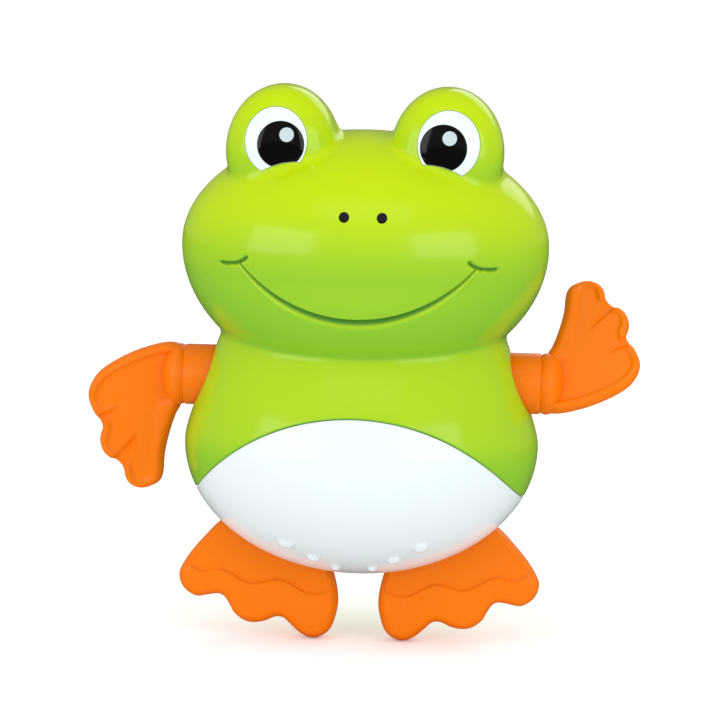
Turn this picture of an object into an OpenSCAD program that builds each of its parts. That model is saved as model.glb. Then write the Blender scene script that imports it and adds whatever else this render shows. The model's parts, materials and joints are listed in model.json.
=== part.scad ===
// Floating wind-up frog: two-part shell with a belly panel, clockwork motor, swinging arms and flippers.
// The frog looks along -Y and stands on its inner toes at Z = 0; left and right are the frog's own.

/* [Head] */
// Width of the head
head_w = 91.2; // [86:0.2:96]
// Height of the head's widest line
head_z = 100; // [98:0.5:102]
// Rise from the widest line to the crown
head_up = 28.6; // [27:0.2:30]
// Drop from the widest line to the hidden chin pole
head_down = 34.5; // [33:0.5:36]
// Depth of the face in front of the parting plane
face_depth = 37.5; // [35:0.5:39]
// Depth of the nape behind the parting plane
nape_depth = 32; // [29:0.5:34]

/* [Eye bumps] */
// Sideways place of each bump
bump_x = 20.1; // [19:0.1:21]
// Fore and aft place of each bump
bump_y = -8; // [-10:0.5:-6]
// Height of each bump's centre
bump_z = 123.6; // [122:0.2:125]
// Half width of a bump
bump_half = 13.9; // [13:0.1:15]
// Half height of a bump
bump_rise = 16.2; // [16:0.2:17.6]
// Half depth of a bump
bump_deep = 14.5; // [13:0.5:16]

/* [Torso] */
// Width of the torso
torso_w = 88.4; // [84:0.2:92]
// Height of the torso's widest line
waist_z = 50.5; // [49:0.5:52]
// Drop from the widest line to the bottom
torso_down = 33.4; // [32:0.2:35]
// Depth of the belly in front of the parting plane
belly_depth = 38.5; // [36:0.5:39]
// Depth of the back behind the parting plane
back_depth = 33; // [31:0.5:34]
// Narrowing of the shoulders for each millimetre of height
shoulder_slope = 0.0084; // [0.007:0.0002:0.01]
// Radius of the arch where the belly panel meets the front shell
arch_r = 49; // [47:0.5:52]
// Height of the top of that arch
arch_top = 60.4; // [58:0.2:62]

/* [Shell] */
// Wall thickness of every moulded shell
wall = 2; // [1.6:0.1:2.4]
// Gap at the parting lines
seam = 0.1; // [0.05:0.05:0.2]

/* [Eyes] */
// Half width of an eye
eye_half_w = 7.6; // [7:0.1:8]
// Half height of an eye
eye_half_h = 8.4; // [8:0.1:9]
// Height of an eye's centre
eye_z = 126.4; // [126:0.2:127.4]
// Sideways place of an eye
eye_x = 20.8; // [20.5:0.1:21.5]

/* [Arms] */
// Height of the arm axle
axle_z = 66.4; // [66:0.1:67]
// Diameter of the round shoulder
shoulder_d = 15.3; // [14.5:0.1:15.6]
// Reach of a hand from the middle of the body
hand_reach = 69.4; // [68.4:0.1:70.4]
// Thickness of a hand
hand_t = 5.6; // [5:0.2:6]
// Forward swing of the lowered right arm, in degrees
right_arm_turn = 6; // [0:1:15]
// Backward swing of the raised left arm, in degrees
left_arm_turn = 24; // [10:1:28]

/* [Legs] */
// Thickness of the toes
toe_t = 8.4; // [7:0.2:9]
// Thickness of the upper flipper
shin_t = 6; // [5:0.2:6.6]
// Fore and aft place of the legs
leg_y = 1.2; // [0:0.2:1.6]

/* [Clockwork] */
// Module of the main gears
gear_m = 0.6; // [0.6:0.1:0.6]
// Teeth of the crown wheel
crown_teeth = 30; // [30:2:30]
// Teeth of the pinion on the arm axle
axle_teeth = 12; // [12:1:12]
// Teeth of the barrel wheel
barrel_teeth = 48; // [48:1:48]
// Teeth of the pinion on the crown wheel
idler_teeth = 10; // [10:1:10]
// Diameter of the arm axle
axle_d = 3; // [3:0.1:3]
// Diameter of the winding knob
knob_d = 17; // [15:0.5:19]

/* [Hidden] */
$fn = 48;

far = 200;
run = 0.05;                         // radial play of a running fit
frog_green = "#a6d926";
frog_orange = "#f97d00";
steel_grey = "silver";

// Parting: the belly arch is a cylinder along Y
arch_z = arch_top - arch_r;

// Gear train, all in the plane of the arm axle
crown_r = gear_m * crown_teeth / 2;
axle_pinion_r = gear_m * axle_teeth / 2;
train_gap = gear_m * (barrel_teeth + idler_teeth) / 2;
arbor_z = axle_z - train_gap;
rim_m = 0.5;
rim_teeth = 44;
fan_teeth = 8;
fan_gap = rim_m * (rim_teeth + fan_teeth) / 2;
fan_angle = 160;
fan_x = fan_gap * cos(fan_angle);
fan_z = axle_z + fan_gap * sin(fan_angle);

// Stations along Y in the motor
crown_tip_y = 3.15;
crown_root_y = 4.45;
idler_y = 6.1;
idler_end_y = 11.2;
barrel_y = 7.6;
drum_y = 9.6;
drum_end_y = 16.4;
ratchet_y = 17.1;
ratchet_end_y = 18.7;
case_front_y = -6.4;
case_rear_y = 21.2;
case_wall = 1.6;

// Stations along X at the shoulders
socket_x = 33;
stub_x = 33.6;
stub_end_x = 44;
axle_end_x = 42.5;

motor_ears = [[-19.4, axle_z - 5], [17.8, axle_z - 5], [-13.8, arbor_z - 13.4], [13.8, arbor_z - 13.4]];
screw_posts = [[-28, 92], [28, 92], [-29, 57], [29, 57], [-26, 39.5], [26, 39.5]];
screw_seat_y = 8;
peg_x = 19.5;
peg_z = 29.5;

// ---- skin: rays from an upright spine meet the blended lobes ----

// Rounded union of two distances over a fillet of size k
function blend(a, b, k) = min(a, b) - pow(max(k - abs(a - b), 0), 2) / (4 * k);

function head_lobe(p) =
    let (deep = p.y < 0 ? face_depth : nape_depth, tall = p.z > head_z ? head_up : head_down)
    (norm([2 * p.x / head_w, p.y / deep, (p.z - head_z) / tall]) - 1) * face_depth;

function torso_lobe(p) =
    let (deep = p.y < 0 ? belly_depth : back_depth,
         taper = 1 - shoulder_slope * (norm([max(p.z - waist_z, 0), 4]) - 4),
         drop = max(waist_z - p.z, 0) / torso_down)
    (norm([2 * p.x / (torso_w * taper), p.y / (deep * taper), drop]) - 1) * belly_depth
        + pow(max(p.z - 86, 0) / 2, 2);

function bump_lobe(p) =
    let (face = norm([(abs(p.x) - bump_x) / bump_half, (p.z - bump_z) / bump_rise]),
         deep = abs(p.y - bump_y) / bump_deep)
    (pow(pow(face, 3) + pow(deep, 3), 1 / 3) - 1) * bump_half;

function skin_distance(p) = blend(blend(head_lobe(p), torso_lobe(p), 1.5), bump_lobe(p), 3);

// Distance along a ray at which the skin is met, by bisection
function reach(from, way, low = 5, high = 80, steps = 18) =
    let (mid = (low + high) / 2)
    steps == 0 ? mid
    : skin_distance(from + mid * way) > 0 ? reach(from, way, low, mid, steps - 1)
    : reach(from, way, mid, high, steps - 1);

bowl_rows = 9;
flank_rows = 17;
crown_rows = 13;
columns = 44;
ray_rows = [
    for (i = [1:bowl_rows - 1]) [waist_z, -90 + 90 * i / bowl_rows],
    for (i = [0:flank_rows]) [waist_z + (head_z - waist_z) * i / flank_rows, 0],
    for (i = [1:crown_rows - 1]) [head_z, 90 * i / crown_rows]
];

function ray_way(turn, lift) = [cos(turn) * cos(lift), sin(turn) * cos(lift), sin(lift)];

skin_rays = [
    for (row = ray_rows) [
        for (c = [0:columns - 1])
            let (from = [0, 0, row[0]], way = ray_way(360 * c / columns, row[1]))
            [from, way, reach(from, way)]
    ]
];
bottom_reach = reach([0, 0, waist_z], [0, 0, -1]);
crown_reach = reach([0, 0, head_z], [0, 0, 1]);

// Closed skin, moved inwards along its rays by the inset
module skin(inset) {
    rows = len(skin_rays);
    ring_points = [for (row = skin_rays) for (ray = row) ray[0] + (ray[2] - inset) * ray[1]];
    poles = [[0, 0, waist_z - bottom_reach + inset], [0, 0, head_z + crown_reach - inset]];
    low_pole = rows * columns;
    sides = [
        for (r = [0:rows - 2]) for (c = [0:columns - 1])
            let (d = (c + 1) % columns, a = r * columns, b = a + columns)
            each [[a + c, b + c, b + d], [a + c, b + d, a + d]]
    ];
    caps = [
        for (c = [0:columns - 1])
            let (d = (c + 1) % columns, top = (rows - 1) * columns)
            each [[low_pole, c, d], [low_pole + 1, top + d, top + c]]
    ];
    polyhedron(points = concat(ring_points, poles), faces = concat(sides, caps), convexity = 8);
}

// Everything on one side of the parting plane: side -1 is the front, 1 the back
module half_space(side) {
    translate([-far / 2, side > 0 ? seam / 2 : -far - seam / 2, -far / 4]) cube([far, far, far]);
}

module arch_cylinder(r) {
    translate([0, far / 2, arch_z]) rotate([90, 0, 0]) cylinder(r = r, h = far, $fn = 96);
}

// A solid bar along Y between two stations
module bar_y(x, z, r, y0, y1, facets = 24) {
    translate([x, y0, z]) rotate([-90, 0, 0]) cylinder(r = r, h = y1 - y0, $fn = facets);
}

// A solid bar along X between two stations
module bar_x(r, x0, x1, facets = 36) {
    translate([x0, 0, axle_z]) rotate([0, 90, 0]) cylinder(r = r, h = x1 - x0, $fn = facets);
}

module mirrored() {
    children();
    mirror([1, 0, 0]) children();
}

// Round sockets that the shoulders turn in, with an end wall for the bush
module shoulder_collars() {
    mirrored() bar_x(shoulder_d / 2 + 2, socket_x - wall, 46);
}

module shoulder_bores() {
    mirrored() {
        bar_x(shoulder_d / 2 + 0.5, socket_x, 60);
        bar_x(4.05, socket_x - wall - 2, socket_x + 1, 24);
    }
}

module leg_slots() {
    mirrored() translate([0, leg_y, 0]) rotate([90, 0, 0])
        linear_extrude(shin_t + 0.4, center = true) intersection() {
            offset(delta = 0.25) shin_outline();
            translate([0, 8]) square([60, 40]);
        }
}

// Wall of the shell on one side, with its posts and sockets, less every hole
module shell_half(side) {
    resize([0, 0, 0]) difference() {
        intersection() {
            union() {
                difference() {
                    skin(0);
                    skin(wall);
                }
                intersection() {
                    skin(wall / 2);
                    union() {
                        shoulder_collars();
                        children(0);
                    }
                }
            }
            half_space(side);
        }
        shoulder_bores();
        leg_slots();
        children(1);
    }
}

module front_shell() {
    color(frog_green) difference() {
        shell_half(-1) {
            for (p = screw_posts) if (p[1] > 45) bar_y(p[0], p[1], 3.2, -60, 0);
            union() {
                for (p = screw_posts) bar_y(p[0], p[1], 1.3, -10, 1);
                arch_cylinder(arch_r + seam / 2);
                mirrored() eye_plug(seam);
            }
        }
    }
}

module belly_panel() {
    color("white") {
        shell_half(-1) {
            for (p = screw_posts) if (p[1] < 45) bar_y(p[0], p[1], 3.2, -60, 0);
            union() {
                for (p = screw_posts) bar_y(p[0], p[1], 1.3, -10, 1);
                difference() {
                    translate([-far / 2, -far / 2, -far / 4]) cube([far, far, far]);
                    arch_cylinder(arch_r - seam / 2);
                }
            }
        }
        belly_nubs();
    }
}

// Six drip nubs in a smile under the belly, each a sunk ball, growing towards the sides
module belly_nubs() {
    from = [0, 0, waist_z];
    for (side = [-1, 1], place = [0:2]) {
        way = ray_way(-90 + side * (13.5 + 10 * place), -56 + 10 * place);
        translate(from + (reach(from, way) - 0.6) * way) sphere(r = 1.4 + 0.35 * place, $fn = 24);
    }
}

module back_shell() {
    color(frog_green) shell_half(1) {
        union() {
            for (p = screw_posts) bar_y(p[0], p[1], 4, 0, 60);
            for (p = motor_ears) bar_y(p[0], p[1], 2.8, case_rear_y + 0.05, 60);
            mirrored() bar_y(peg_x, peg_z, 2, 0, 60);
            bar_y(0, arbor_z, 5.6, 25, 60);
        }
        union() {
            for (p = screw_posts) {
                bar_y(p[0], p[1], 1.4, -1, 60);
                bar_y(p[0], p[1], 2.9, screw_seat_y, 60);
            }
            for (p = motor_ears) bar_y(p[0], p[1], 1.3, 10, case_rear_y + 4);
            bar_y(0, arbor_z, 2, 20, 60);
            bar_y(0, arbor_z, 3.55, 20, 28.4);
            bar_y(0, arbor_z, 3.7, 30.4, 60);
        }
    }
}

// ---- eyes ----

// The visible eye: an ellipse less the lower lid, as seen from the front
module eye_outline(grow) {
    difference() {
        translate([eye_x, eye_z]) scale([eye_half_w + grow, eye_half_h + grow]) circle(r = 1, $fn = 64);
        translate([eye_x - 5, eye_z - eye_half_h - 6.2]) rotate(-15) scale([1.5, 0.8]) circle(r = 11 - grow, $fn = 64);
    }
}

module eye_plug(grow) {
    rotate([90, 0, 0]) linear_extrude(40) eye_outline(grow);
}

module eye() {
    dome_r = 30;
    color("white") intersection() {
        translate([0, bump_y, 0]) rotate([90, 0, 0]) linear_extrude(20) eye_outline(-0.05);
        translate([eye_x, bump_y - bump_deep - 0.9 + dome_r, eye_z]) sphere(r = dome_r, $fn = 96);
        translate([0, bump_y - bump_deep + 3.5 - 10, eye_z]) cube([80, 20, 40], center = true);
    }
}

// ---- legs: flippers with three toes ----

toes = [[11, 6, 6.7], [26.3, 8.5, 5.7], [39.6, 13.2, 5]];

module disc(c) {
    translate([c[0], c[1]]) circle(r = c[2]);
}

// Upper flipper: x, z and radius of the rounds at its corners
shin_rounds = [[20.5, 27, 8], [30, 27.6, 4.6], [38, 20.6, 4.6], [12.4, 17, 5.4]];

module shin_outline() {
    hull() for (c = shin_rounds) disc(c);
}

module toe_outline() {
    intersection() {
        offset(r = -1.4) offset(r = 1.4) for (t = toes) hull() {
            disc(t);
            translate([20.5, 24]) circle(r = 5);
        }
        square([80, 60]);
    }
}

// Wavy step between the thick toes and the thinner flipper above them
function wave_z(x) = 9.4 + 0.21 * x + 0.9 * cos(24 * (x - 19));

module below_wave(drop) {
    polygon([for (x = [-2:1:50]) [x, wave_z(x) - drop], [50, -2], [-2, -2]]);
}

module leg() {
    color(frog_orange) translate([0, leg_y, 0]) rotate([90, 0, 0]) difference() {
        union() {
            linear_extrude(toe_t, center = true) intersection() {
                toe_outline();
                below_wave(0);
            }
            linear_extrude(shin_t, center = true) difference() {
                shin_outline();
                below_wave(1);
            }
        }
        translate([peg_x, peg_z, 0]) cylinder(r = 2.2, h = 20, center = true);
    }
}

// ---- arms: a round shoulder and a webbed hand ----

palm = [56, 3.3, 8.6];
wrist = [51.5, 5, 5];
hub_x = 43.5;
hub_half = shoulder_d / 2 - 0.35;
fingers = [[hand_reach - 5.6, 6.2, 5.6], [62, 17.3, 3.9], [55, 23.4, 5.1]];

module hand_outline() {
    offset(r = -1.2) offset(r = 1.2) union() {
        hull() {
            translate([hub_x, -hub_half]) square([4.5, 2 * hub_half]);
            disc(palm);
            disc(fingers[0]);
        }
        hull() {
            disc(wrist);
            disc(fingers[1]);
        }
        hull() {
            disc(wrist);
            disc(fingers[2]);
        }
    }
}

// An arm with its fingers along +Z before it is turned about the axle
module arm(turn) {
    color(frog_orange) translate([0, 0, axle_z]) rotate([turn, 0, 0]) difference() {
        union() {
            rotate([90, 0, 0]) linear_extrude(hand_t, center = true) hand_outline();
            translate([stub_x, 0, 0]) rotate([0, 90, 0]) cylinder(d = shoulder_d, h = stub_end_x - stub_x);
            intersection() {
                translate([hub_x, -5, -shoulder_d]) cube([4.6, 10, 2 * shoulder_d]);
                translate([stub_end_x - 1, 0, 0]) rotate([0, 90, 0]) cylinder(r = hub_half, h = 12);
            }
        }
        rotate([-turn, 0, 0]) translate([stub_x - 1, 0, 0]) rotate([0, 90, 0]) axle_section(0, axle_end_x + 0.2 - stub_x + 1);
    }
}

// The axle's end: a rod with two flats
module axle_section(play, length) {
    intersection() {
        cylinder(d = axle_d + play, h = length);
        translate([-5, -1.15 - play / 2, 0]) cube([10, 2.3 + play, length]);
    }
}

module arm_axle() {
    color(steel_grey) {
        bar_x(axle_d / 2, -stub_x, stub_x);
        mirrored() translate([stub_x - 0.01, 0, axle_z]) rotate([0, 90, 0]) axle_section(-0.04, axle_end_x - stub_x);
    }
}

// ---- bearings and seals ----

module bush() {
    color("ivory") difference() {
        union() {
            bar_x(5.2, socket_x - wall - 1.3, socket_x - wall);
            bar_x(4, socket_x - wall, socket_x);
        }
        bar_x(axle_d / 2 + run, 20, 40);
        bar_x(3.3, socket_x - 1.8, 40);
    }
}

module ring_seal(middle_r, cord_r) {
    color("dimgray") rotate_extrude() translate([middle_r, 0]) circle(r = cord_r);
}

module axle_seal() {
    translate([socket_x - 0.9, 0, axle_z]) rotate([0, 90, 0]) ring_seal(2.4, 0.85);
}

module knob_seal() {
    translate([0, 27.4, arbor_z]) rotate([90, 0, 0]) ring_seal(2.6, 0.9);
}

// ---- gears ----

// Spur gear outline with straight flanks at a 20 degree pressure angle
module gear_outline(teeth, m, phase = 0, addendum = 0.9, play = 0.16) {
    r = m * teeth / 2;
    tip = r + addendum * m;
    root = r - 1.25 * m;
    half = 90 / teeth - play / 2 / r * 180 / PI;
    lean = tan(20) * 180 / PI;
    at_tip = max(half - lean * (tip - r) / r, 0.12 * 90 / teeth);
    at_root = min(half + lean * (r - root) / r, 0.9 * 180 / teeth);
    polygon([
        for (i = [0:teeth - 1]) for (c = [[root, -at_root], [r, -half], [tip, -at_tip], [tip, at_tip], [r, half], [root, at_root]])
            let (a = phase + 360 * i / teeth + c[1]) c[0] * [cos(a), sin(a)]
    ]);
}

// Extrudes an outline drawn in X and Z between two stations along Y
module slab_y(y0, y1) {
    translate([0, y1, 0]) rotate([90, 0, 0]) linear_extrude(y1 - y0) children();
}

module axle_pinion() {
    color("ivory") difference() {
        translate([crown_r - 1.3, 0, axle_z]) rotate([0, 90, 0])
            linear_extrude(2.6) gear_outline(axle_teeth, gear_m, 90 + 180 / axle_teeth, 0.8);
        bar_x(axle_d / 2, 0, 20);
    }
}

// One rib of the crown wheel, radial and narrower towards its tip
module crown_rib() {
    share = 0.19 * 360 / crown_teeth;
    inner = crown_r - 0.75;
    outer = crown_r + 0.75;
    corner = [for (y = [crown_tip_y, crown_root_y + 0.1]) for (r = [inner, outer]) for (s = [-1, 1])
        let (a = s * share * (y < crown_root_y ? 0.45 : 1)) [r * cos(a), y, r * sin(a)]];
    polyhedron(corner, [[1, 3, 2, 0], [6, 7, 5, 4], [4, 5, 1, 0], [3, 7, 6, 2], [5, 7, 3, 1], [2, 6, 4, 0]]);
}

module crown_wheel() {
    color("ivory") translate([0, 0, axle_z]) difference() {
        union() {
            slab_y(crown_root_y, idler_y) gear_outline(rim_teeth, rim_m, fan_angle);
            for (i = [0:crown_teeth - 1]) rotate([0, 360 * i / crown_teeth, 0]) crown_rib();
            slab_y(idler_y - 0.1, idler_end_y) gear_outline(idler_teeth, gear_m, -90);
        }
        translate([0, 0, 0]) rotate([-90, 0, 0]) cylinder(r = 1 + run, h = 30, $fn = 24);
    }
}

module crown_pin() {
    color(steel_grey) bar_y(0, axle_z, 1, 3.3, case_rear_y - case_wall);
}

module barrel_wheel() {
    color("ivory") translate([0, 0, arbor_z]) difference() {
        union() {
            slab_y(barrel_y, drum_y) gear_outline(barrel_teeth, gear_m, 90 + 180 / barrel_teeth);
            slab_y(drum_y - 0.1, drum_end_y) circle(r = 13.2, $fn = 96);
        }
        slab_y(drum_y, drum_end_y + 1) circle(r = 12.4, $fn = 96);
        slab_y(0, 30) circle(r = 1.6 + run, $fn = 24);
    }
}

module barrel_lid() {
    color("ivory") translate([0, 0, arbor_z]) slab_y(drum_end_y - 0.7, drum_end_y) difference() {
        circle(r = 12.35, $fn = 96);
        circle(r = 3, $fn = 36);
    }
}

// A flat strip coiled from the arbor core out to the drum
module mainspring() {
    turns = 8;
    inner = 2.75;
    outer = 12.1;
    strip = 0.35;
    steps = 20 * turns;
    function coil_r(i) = inner + (outer - inner - strip) * i / steps;
    function coil_point(i, grow) = (coil_r(i) + grow) * [cos(360 * turns * i / steps), sin(360 * turns * i / steps)];
    color("slategray") translate([0, 0, arbor_z]) slab_y(drum_y + 0.2, drum_end_y - 0.9)
        polygon([for (i = [0:steps]) coil_point(i, 0), for (i = [steps:-1:0]) coil_point(i, strip)]);
}

module winding_arbor() {
    color(steel_grey) {
        bar_y(0, arbor_z, 1.6, case_front_y + 0.2, 36.9, 36);
        bar_y(0, arbor_z, 2.5, drum_y + 0.15, drum_end_y - 0.85, 36);
    }
}

// Twelve saw teeth, steep towards the click
module ratchet_wheel() {
    tip = 5.8;
    root = 4.4;
    color("ivory") translate([0, 0, arbor_z]) slab_y(ratchet_y, ratchet_end_y) difference() {
        polygon([for (i = [0:11]) each [root * [cos(30 * i), sin(30 * i)], tip * [cos(30 * i - 0.01), sin(30 * i - 0.01)]]]);
        circle(r = 1.6, $fn = 36);
    }
}

click_x = 9.5;
click_z = arbor_z + 7.2;

module click() {
    color(steel_grey) difference() {
        union() {
            slab_y(ratchet_y + 0.1, ratchet_end_y - 0.1) translate([0, arbor_z])
                polygon([[0.5, 4.75], [3.1, 5.9], [9.2, 6.2], [9.2, 8.2], [3, 7.3], [0.5, 6]]);
            bar_y(click_x, click_z, 1.6, ratchet_y + 0.1, ratchet_end_y - 0.1);
        }
        bar_y(click_x, click_z, 0.8 + run, 10, 25);
    }
}

module click_pin() {
    color(steel_grey) bar_y(click_x, click_z, 0.8, drum_end_y + 0.4, case_rear_y - case_wall);
}

// A thin leaf that leans on the back of the click
module click_spring() {
    color("slategray") slab_y(ratchet_y + 0.3, ratchet_end_y - 0.3)
        translate([13.4, click_z + 3.4]) rotate(180 + 16.5) square([9.6, 0.3]);
}

module governor_rotor() {
    color("ivory") translate([fan_x, 0, fan_z]) difference() {
        union() {
            slab_y(crown_root_y - 0.2, idler_y + 1) gear_outline(fan_teeth, rim_m, fan_angle + 180 + 180 / fan_teeth, 0.8);
            slab_y(idler_y + 1, idler_y + 2.6) difference() {
                circle(r = 5.4);
                for (s = [-1, 1]) translate([s * 3.4, 0]) circle(r = 1.25, $fn = 24);
            }
            slab_y(idler_y + 2.5, idler_y + 7) circle(r = 1.7);
        }
        rotate([-90, 0, 0]) cylinder(r = 0.8 + run, h = 30, $fn = 24);
    }
}

module governor_weights() {
    color("darkgoldenrod") translate([fan_x, 0, fan_z]) for (s = [-1, 1]) translate([s * 3.4, 0, 0]) {
        slab_y(idler_y + 1.05, idler_y + 2.65) circle(r = 1.2, $fn = 24);
        slab_y(idler_y + 2.65, idler_y + 5.6) circle(r = 1.55, $fn = 24);
    }
}

module governor_pin() {
    color(steel_grey) bar_y(fan_x, fan_z, 0.8, 3.6, case_rear_y - case_wall);
}

// ---- motor case ----

module case_outline(grow) {
    hull() {
        translate([0, arbor_z]) circle(r = 16.8 + grow, $fn = 72);
        translate([0, axle_z]) circle(r = 14 + grow, $fn = 72);
        translate([fan_x, fan_z]) circle(r = 8 + grow, $fn = 72);
    }
}

module case_half(y0, y1, floor_y0, floor_y1) {
    difference() {
        union() {
            slab_y(y0, y1) case_outline(0);
            for (p = motor_ears) bar_y(p[0], p[1], 2.8, y0, y1);
        }
        slab_y(floor_y0, floor_y1) case_outline(-case_wall);
        for (p = motor_ears) bar_y(p[0], p[1], 1.3, -30, 40);
        bar_x(1.9, -40, 40, 24);
        bar_y(0, arbor_z, 1.6 + run, -30, 40, 36);
    }
}

module motor_case_front() {
    color("gainsboro") case_half(case_front_y, -seam / 2, case_front_y + case_wall, 1);
}

module motor_case_rear() {
    color("gainsboro") case_half(seam / 2, case_rear_y, -1, case_rear_y - case_wall);
}

// ---- screws ----

// A round-headed screw along Y, its head towards +Y when side is 1
module screw(x, z, seat_y, tip_y, r, head_r) {
    side = sign(seat_y - tip_y);
    difference() {
        union() {
            bar_y(x, z, r, min(seat_y, tip_y), max(seat_y, tip_y));
            bar_y(x, z, head_r, min(seat_y, seat_y + 1.4 * side), max(seat_y, seat_y + 1.4 * side));
        }
        translate([x, seat_y + 1.4 * side, z]) for (a = [0, 90]) rotate([0, a, 0])
            cube([0.5, 1.2, 1.5 * head_r], center = true);
    }
}

module shell_screws() {
    color(steel_grey) for (p = screw_posts) screw(p[0], p[1], screw_seat_y, -9, 1.2, 2.4);
}

module motor_screws() {
    color(steel_grey) for (p = motor_ears) screw(p[0], p[1], case_front_y, case_rear_y + 3.6, 1.2, 2.2);
}

// ---- winding knob ----

knob_y = 33.6;
knob_end_y = 38.5;

module winding_knob() {
    color(frog_orange) translate([0, 0, arbor_z]) difference() {
        union() {
            slab_y(knob_y, knob_end_y) difference() {
                circle(r = knob_d / 2, $fn = 72);
                for (a = [0:30:330]) rotate(a) translate([knob_d / 2 + 0.9, 0]) circle(r = 1.5, $fn = 24);
            }
            slab_y(knob_y - 2.4, knob_y + 0.1) circle(r = 3.4);
        }
        slab_y(20, 36.9) circle(r = 1.6, $fn = 36);
        slab_y(knob_end_y - 1.6, 50) circle(r = 2.6, $fn = 36);
    }
}

module knob_screw() {
    color(steel_grey) translate([0, 0, arbor_z]) difference() {
        slab_y(knob_end_y - 1.55, knob_end_y - 0.4) circle(r = 2.2);
        for (a = [0, 90]) rotate([0, a, 0]) translate([0, knob_end_y - 0.4, 0]) cube([0.5, 1, 3.2], center = true);
    }
}

front_shell();
back_shell();
belly_panel();
mirror([1, 0, 0]) eye();  // eye_right
eye();  // eye_left
mirror([1, 0, 0]) leg();  // leg_right
leg();  // leg_left
shell_screws();
mirror([1, 0, 0]) arm(180 + right_arm_turn);  // arm_right
arm(-left_arm_turn);  // arm_left
arm_axle();
axle_pinion();
mirror([1, 0, 0]) bush();  // bush_right
bush();  // bush_left
mirror([1, 0, 0]) axle_seal();  // seal_right
axle_seal();  // seal_left
motor_case_front();
motor_case_rear();
motor_screws();
crown_wheel();
crown_pin();
barrel_wheel();
barrel_lid();
mainspring();
winding_arbor();
ratchet_wheel();
winding_knob();
knob_screw();
knob_seal();
click();
click_pin();
click_spring();
governor_rotor();
governor_weights();
governor_pin();
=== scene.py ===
"""Floating wind-up frog: moulded shells, inlaid eyes, turning arms, flippers and a clockwork motor.

Lengths are millimetres in the frog's own frame until a mesh is made. The frog looks along -Y, stands
on +Z, and left and right are its own.
"""

import json
import logging
import math
from dataclasses import dataclass
from enum import Enum
from typing import Callable, Sequence

import bmesh
import bpy
import numpy as np
from mathutils import Matrix, Vector


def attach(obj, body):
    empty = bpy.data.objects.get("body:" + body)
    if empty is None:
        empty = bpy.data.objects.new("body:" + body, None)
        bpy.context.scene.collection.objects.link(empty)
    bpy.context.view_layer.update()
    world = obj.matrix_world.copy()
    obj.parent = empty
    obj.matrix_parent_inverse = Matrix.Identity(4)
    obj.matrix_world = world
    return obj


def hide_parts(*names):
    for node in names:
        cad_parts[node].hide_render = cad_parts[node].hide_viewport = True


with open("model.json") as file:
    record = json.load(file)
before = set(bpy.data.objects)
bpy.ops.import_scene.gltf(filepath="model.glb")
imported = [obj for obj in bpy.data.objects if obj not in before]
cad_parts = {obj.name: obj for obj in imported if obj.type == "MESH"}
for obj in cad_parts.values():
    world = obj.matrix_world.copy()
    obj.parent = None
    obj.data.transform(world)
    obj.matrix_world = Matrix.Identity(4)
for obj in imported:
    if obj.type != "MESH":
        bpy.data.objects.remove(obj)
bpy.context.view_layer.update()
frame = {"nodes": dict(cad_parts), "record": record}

MM = 0.001

Array = np.ndarray
Piece = bpy.types.Object
Tree = bpy.types.NodeTree
Pair = tuple[float, float]
Triple = tuple[float, float, float]
Pairs = Sequence[Pair]
Band = tuple[Array, Array, Array]
Field = Callable[[Array, Array], Array]
Socket = bpy.types.NodeSocket
log = logging.getLogger("frog")


class Part(str, Enum):
    """The bodies that pieces ride on."""

    FIXED = "body"
    ARMS = "arms"
    WINDER = "winder"


class Slot(str, Enum):
    """The finishes that the pieces are moulded or turned in."""

    GREEN = "shell_green"
    WHITE = "belly_white"
    ORANGE = "limb_orange"
    EYE = "eye_white"
    GEAR = "gear_plastic"
    CASE = "case_plastic"
    STEEL = "steel"
    SPRING = "spring_steel"
    BRASS = "brass"
    RUBBER = "seal_rubber"


# ---- numbers as whole arrays ----


def smooth(low: float, high: float, value: Array) -> Array:
    """Rises from 0 at low to 1 at high along 3t^2 - 2t^3.

    Args:
        low: Where the step starts.
        high: Where the step ends.
        value: Where it is wanted.

    Returns:
        The height of the step at each value.
    """
    t = np.clip((value - low) / (high - low), 0, 1)
    return t * t * (3 - 2 * t)


def blend(a: Array, b: Array, size: float) -> Array:
    """Rounded union of two distances: the smaller less (size - |a - b|)^2 / 4 size where they are close.

    Args:
        a: One distance.
        b: The other distance.
        size: How far the fillet reaches.

    Returns:
        The distance to the rounded union.
    """
    return np.minimum(a, b) - np.maximum(size - np.abs(a - b), 0) ** 2 / (4 * size)


def solve(inside: Callable[[Array], Array], low: Array, high: Array, steps: int = 26) -> Array:
    """Halves each interval until it closes on the place where inside turns false.

    Args:
        inside: Tells for each value whether it lies before the crossing.
        low: Values before the crossing.
        high: Values past it.
        steps: How often the intervals are halved.

    Returns:
        The crossing of each interval.
    """
    for _ in range(steps):
        middle = (low + high) / 2
        before = inside(middle)
        low = np.where(before, middle, low)
        high = np.where(before, high, middle)
    return (low + high) / 2


def spread(length: float, coarse: float, knots: Pairs, growth: float = 0.3) -> Array:
    """Stations from 0 to 1 whose spacing is fine at the knots and grows with the distance from them.

    The count is the integral of one over the spacing, and the stations divide it evenly.

    Args:
        length: Length of the stretch.
        coarse: The widest spacing.
        knots: Places along the stretch and the spacing there.
        growth: How much the spacing grows for each millimetre away from a knot.

    Returns:
        The stations as fractions of the length.
    """
    fine = np.linspace(0, length, 4001)
    spacing = np.full(fine.shape, coarse)
    for place, size in knots:
        spacing = np.minimum(spacing, size + growth * np.abs(fine - place))
    count = np.concatenate([[0], np.cumsum((1 / spacing[1:] + 1 / spacing[:-1]) / 2 * np.diff(fine))])
    steps = max(2, int(round(count[-1])))
    return np.interp(np.linspace(0, count[-1], steps + 1), count, fine) / length


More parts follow.
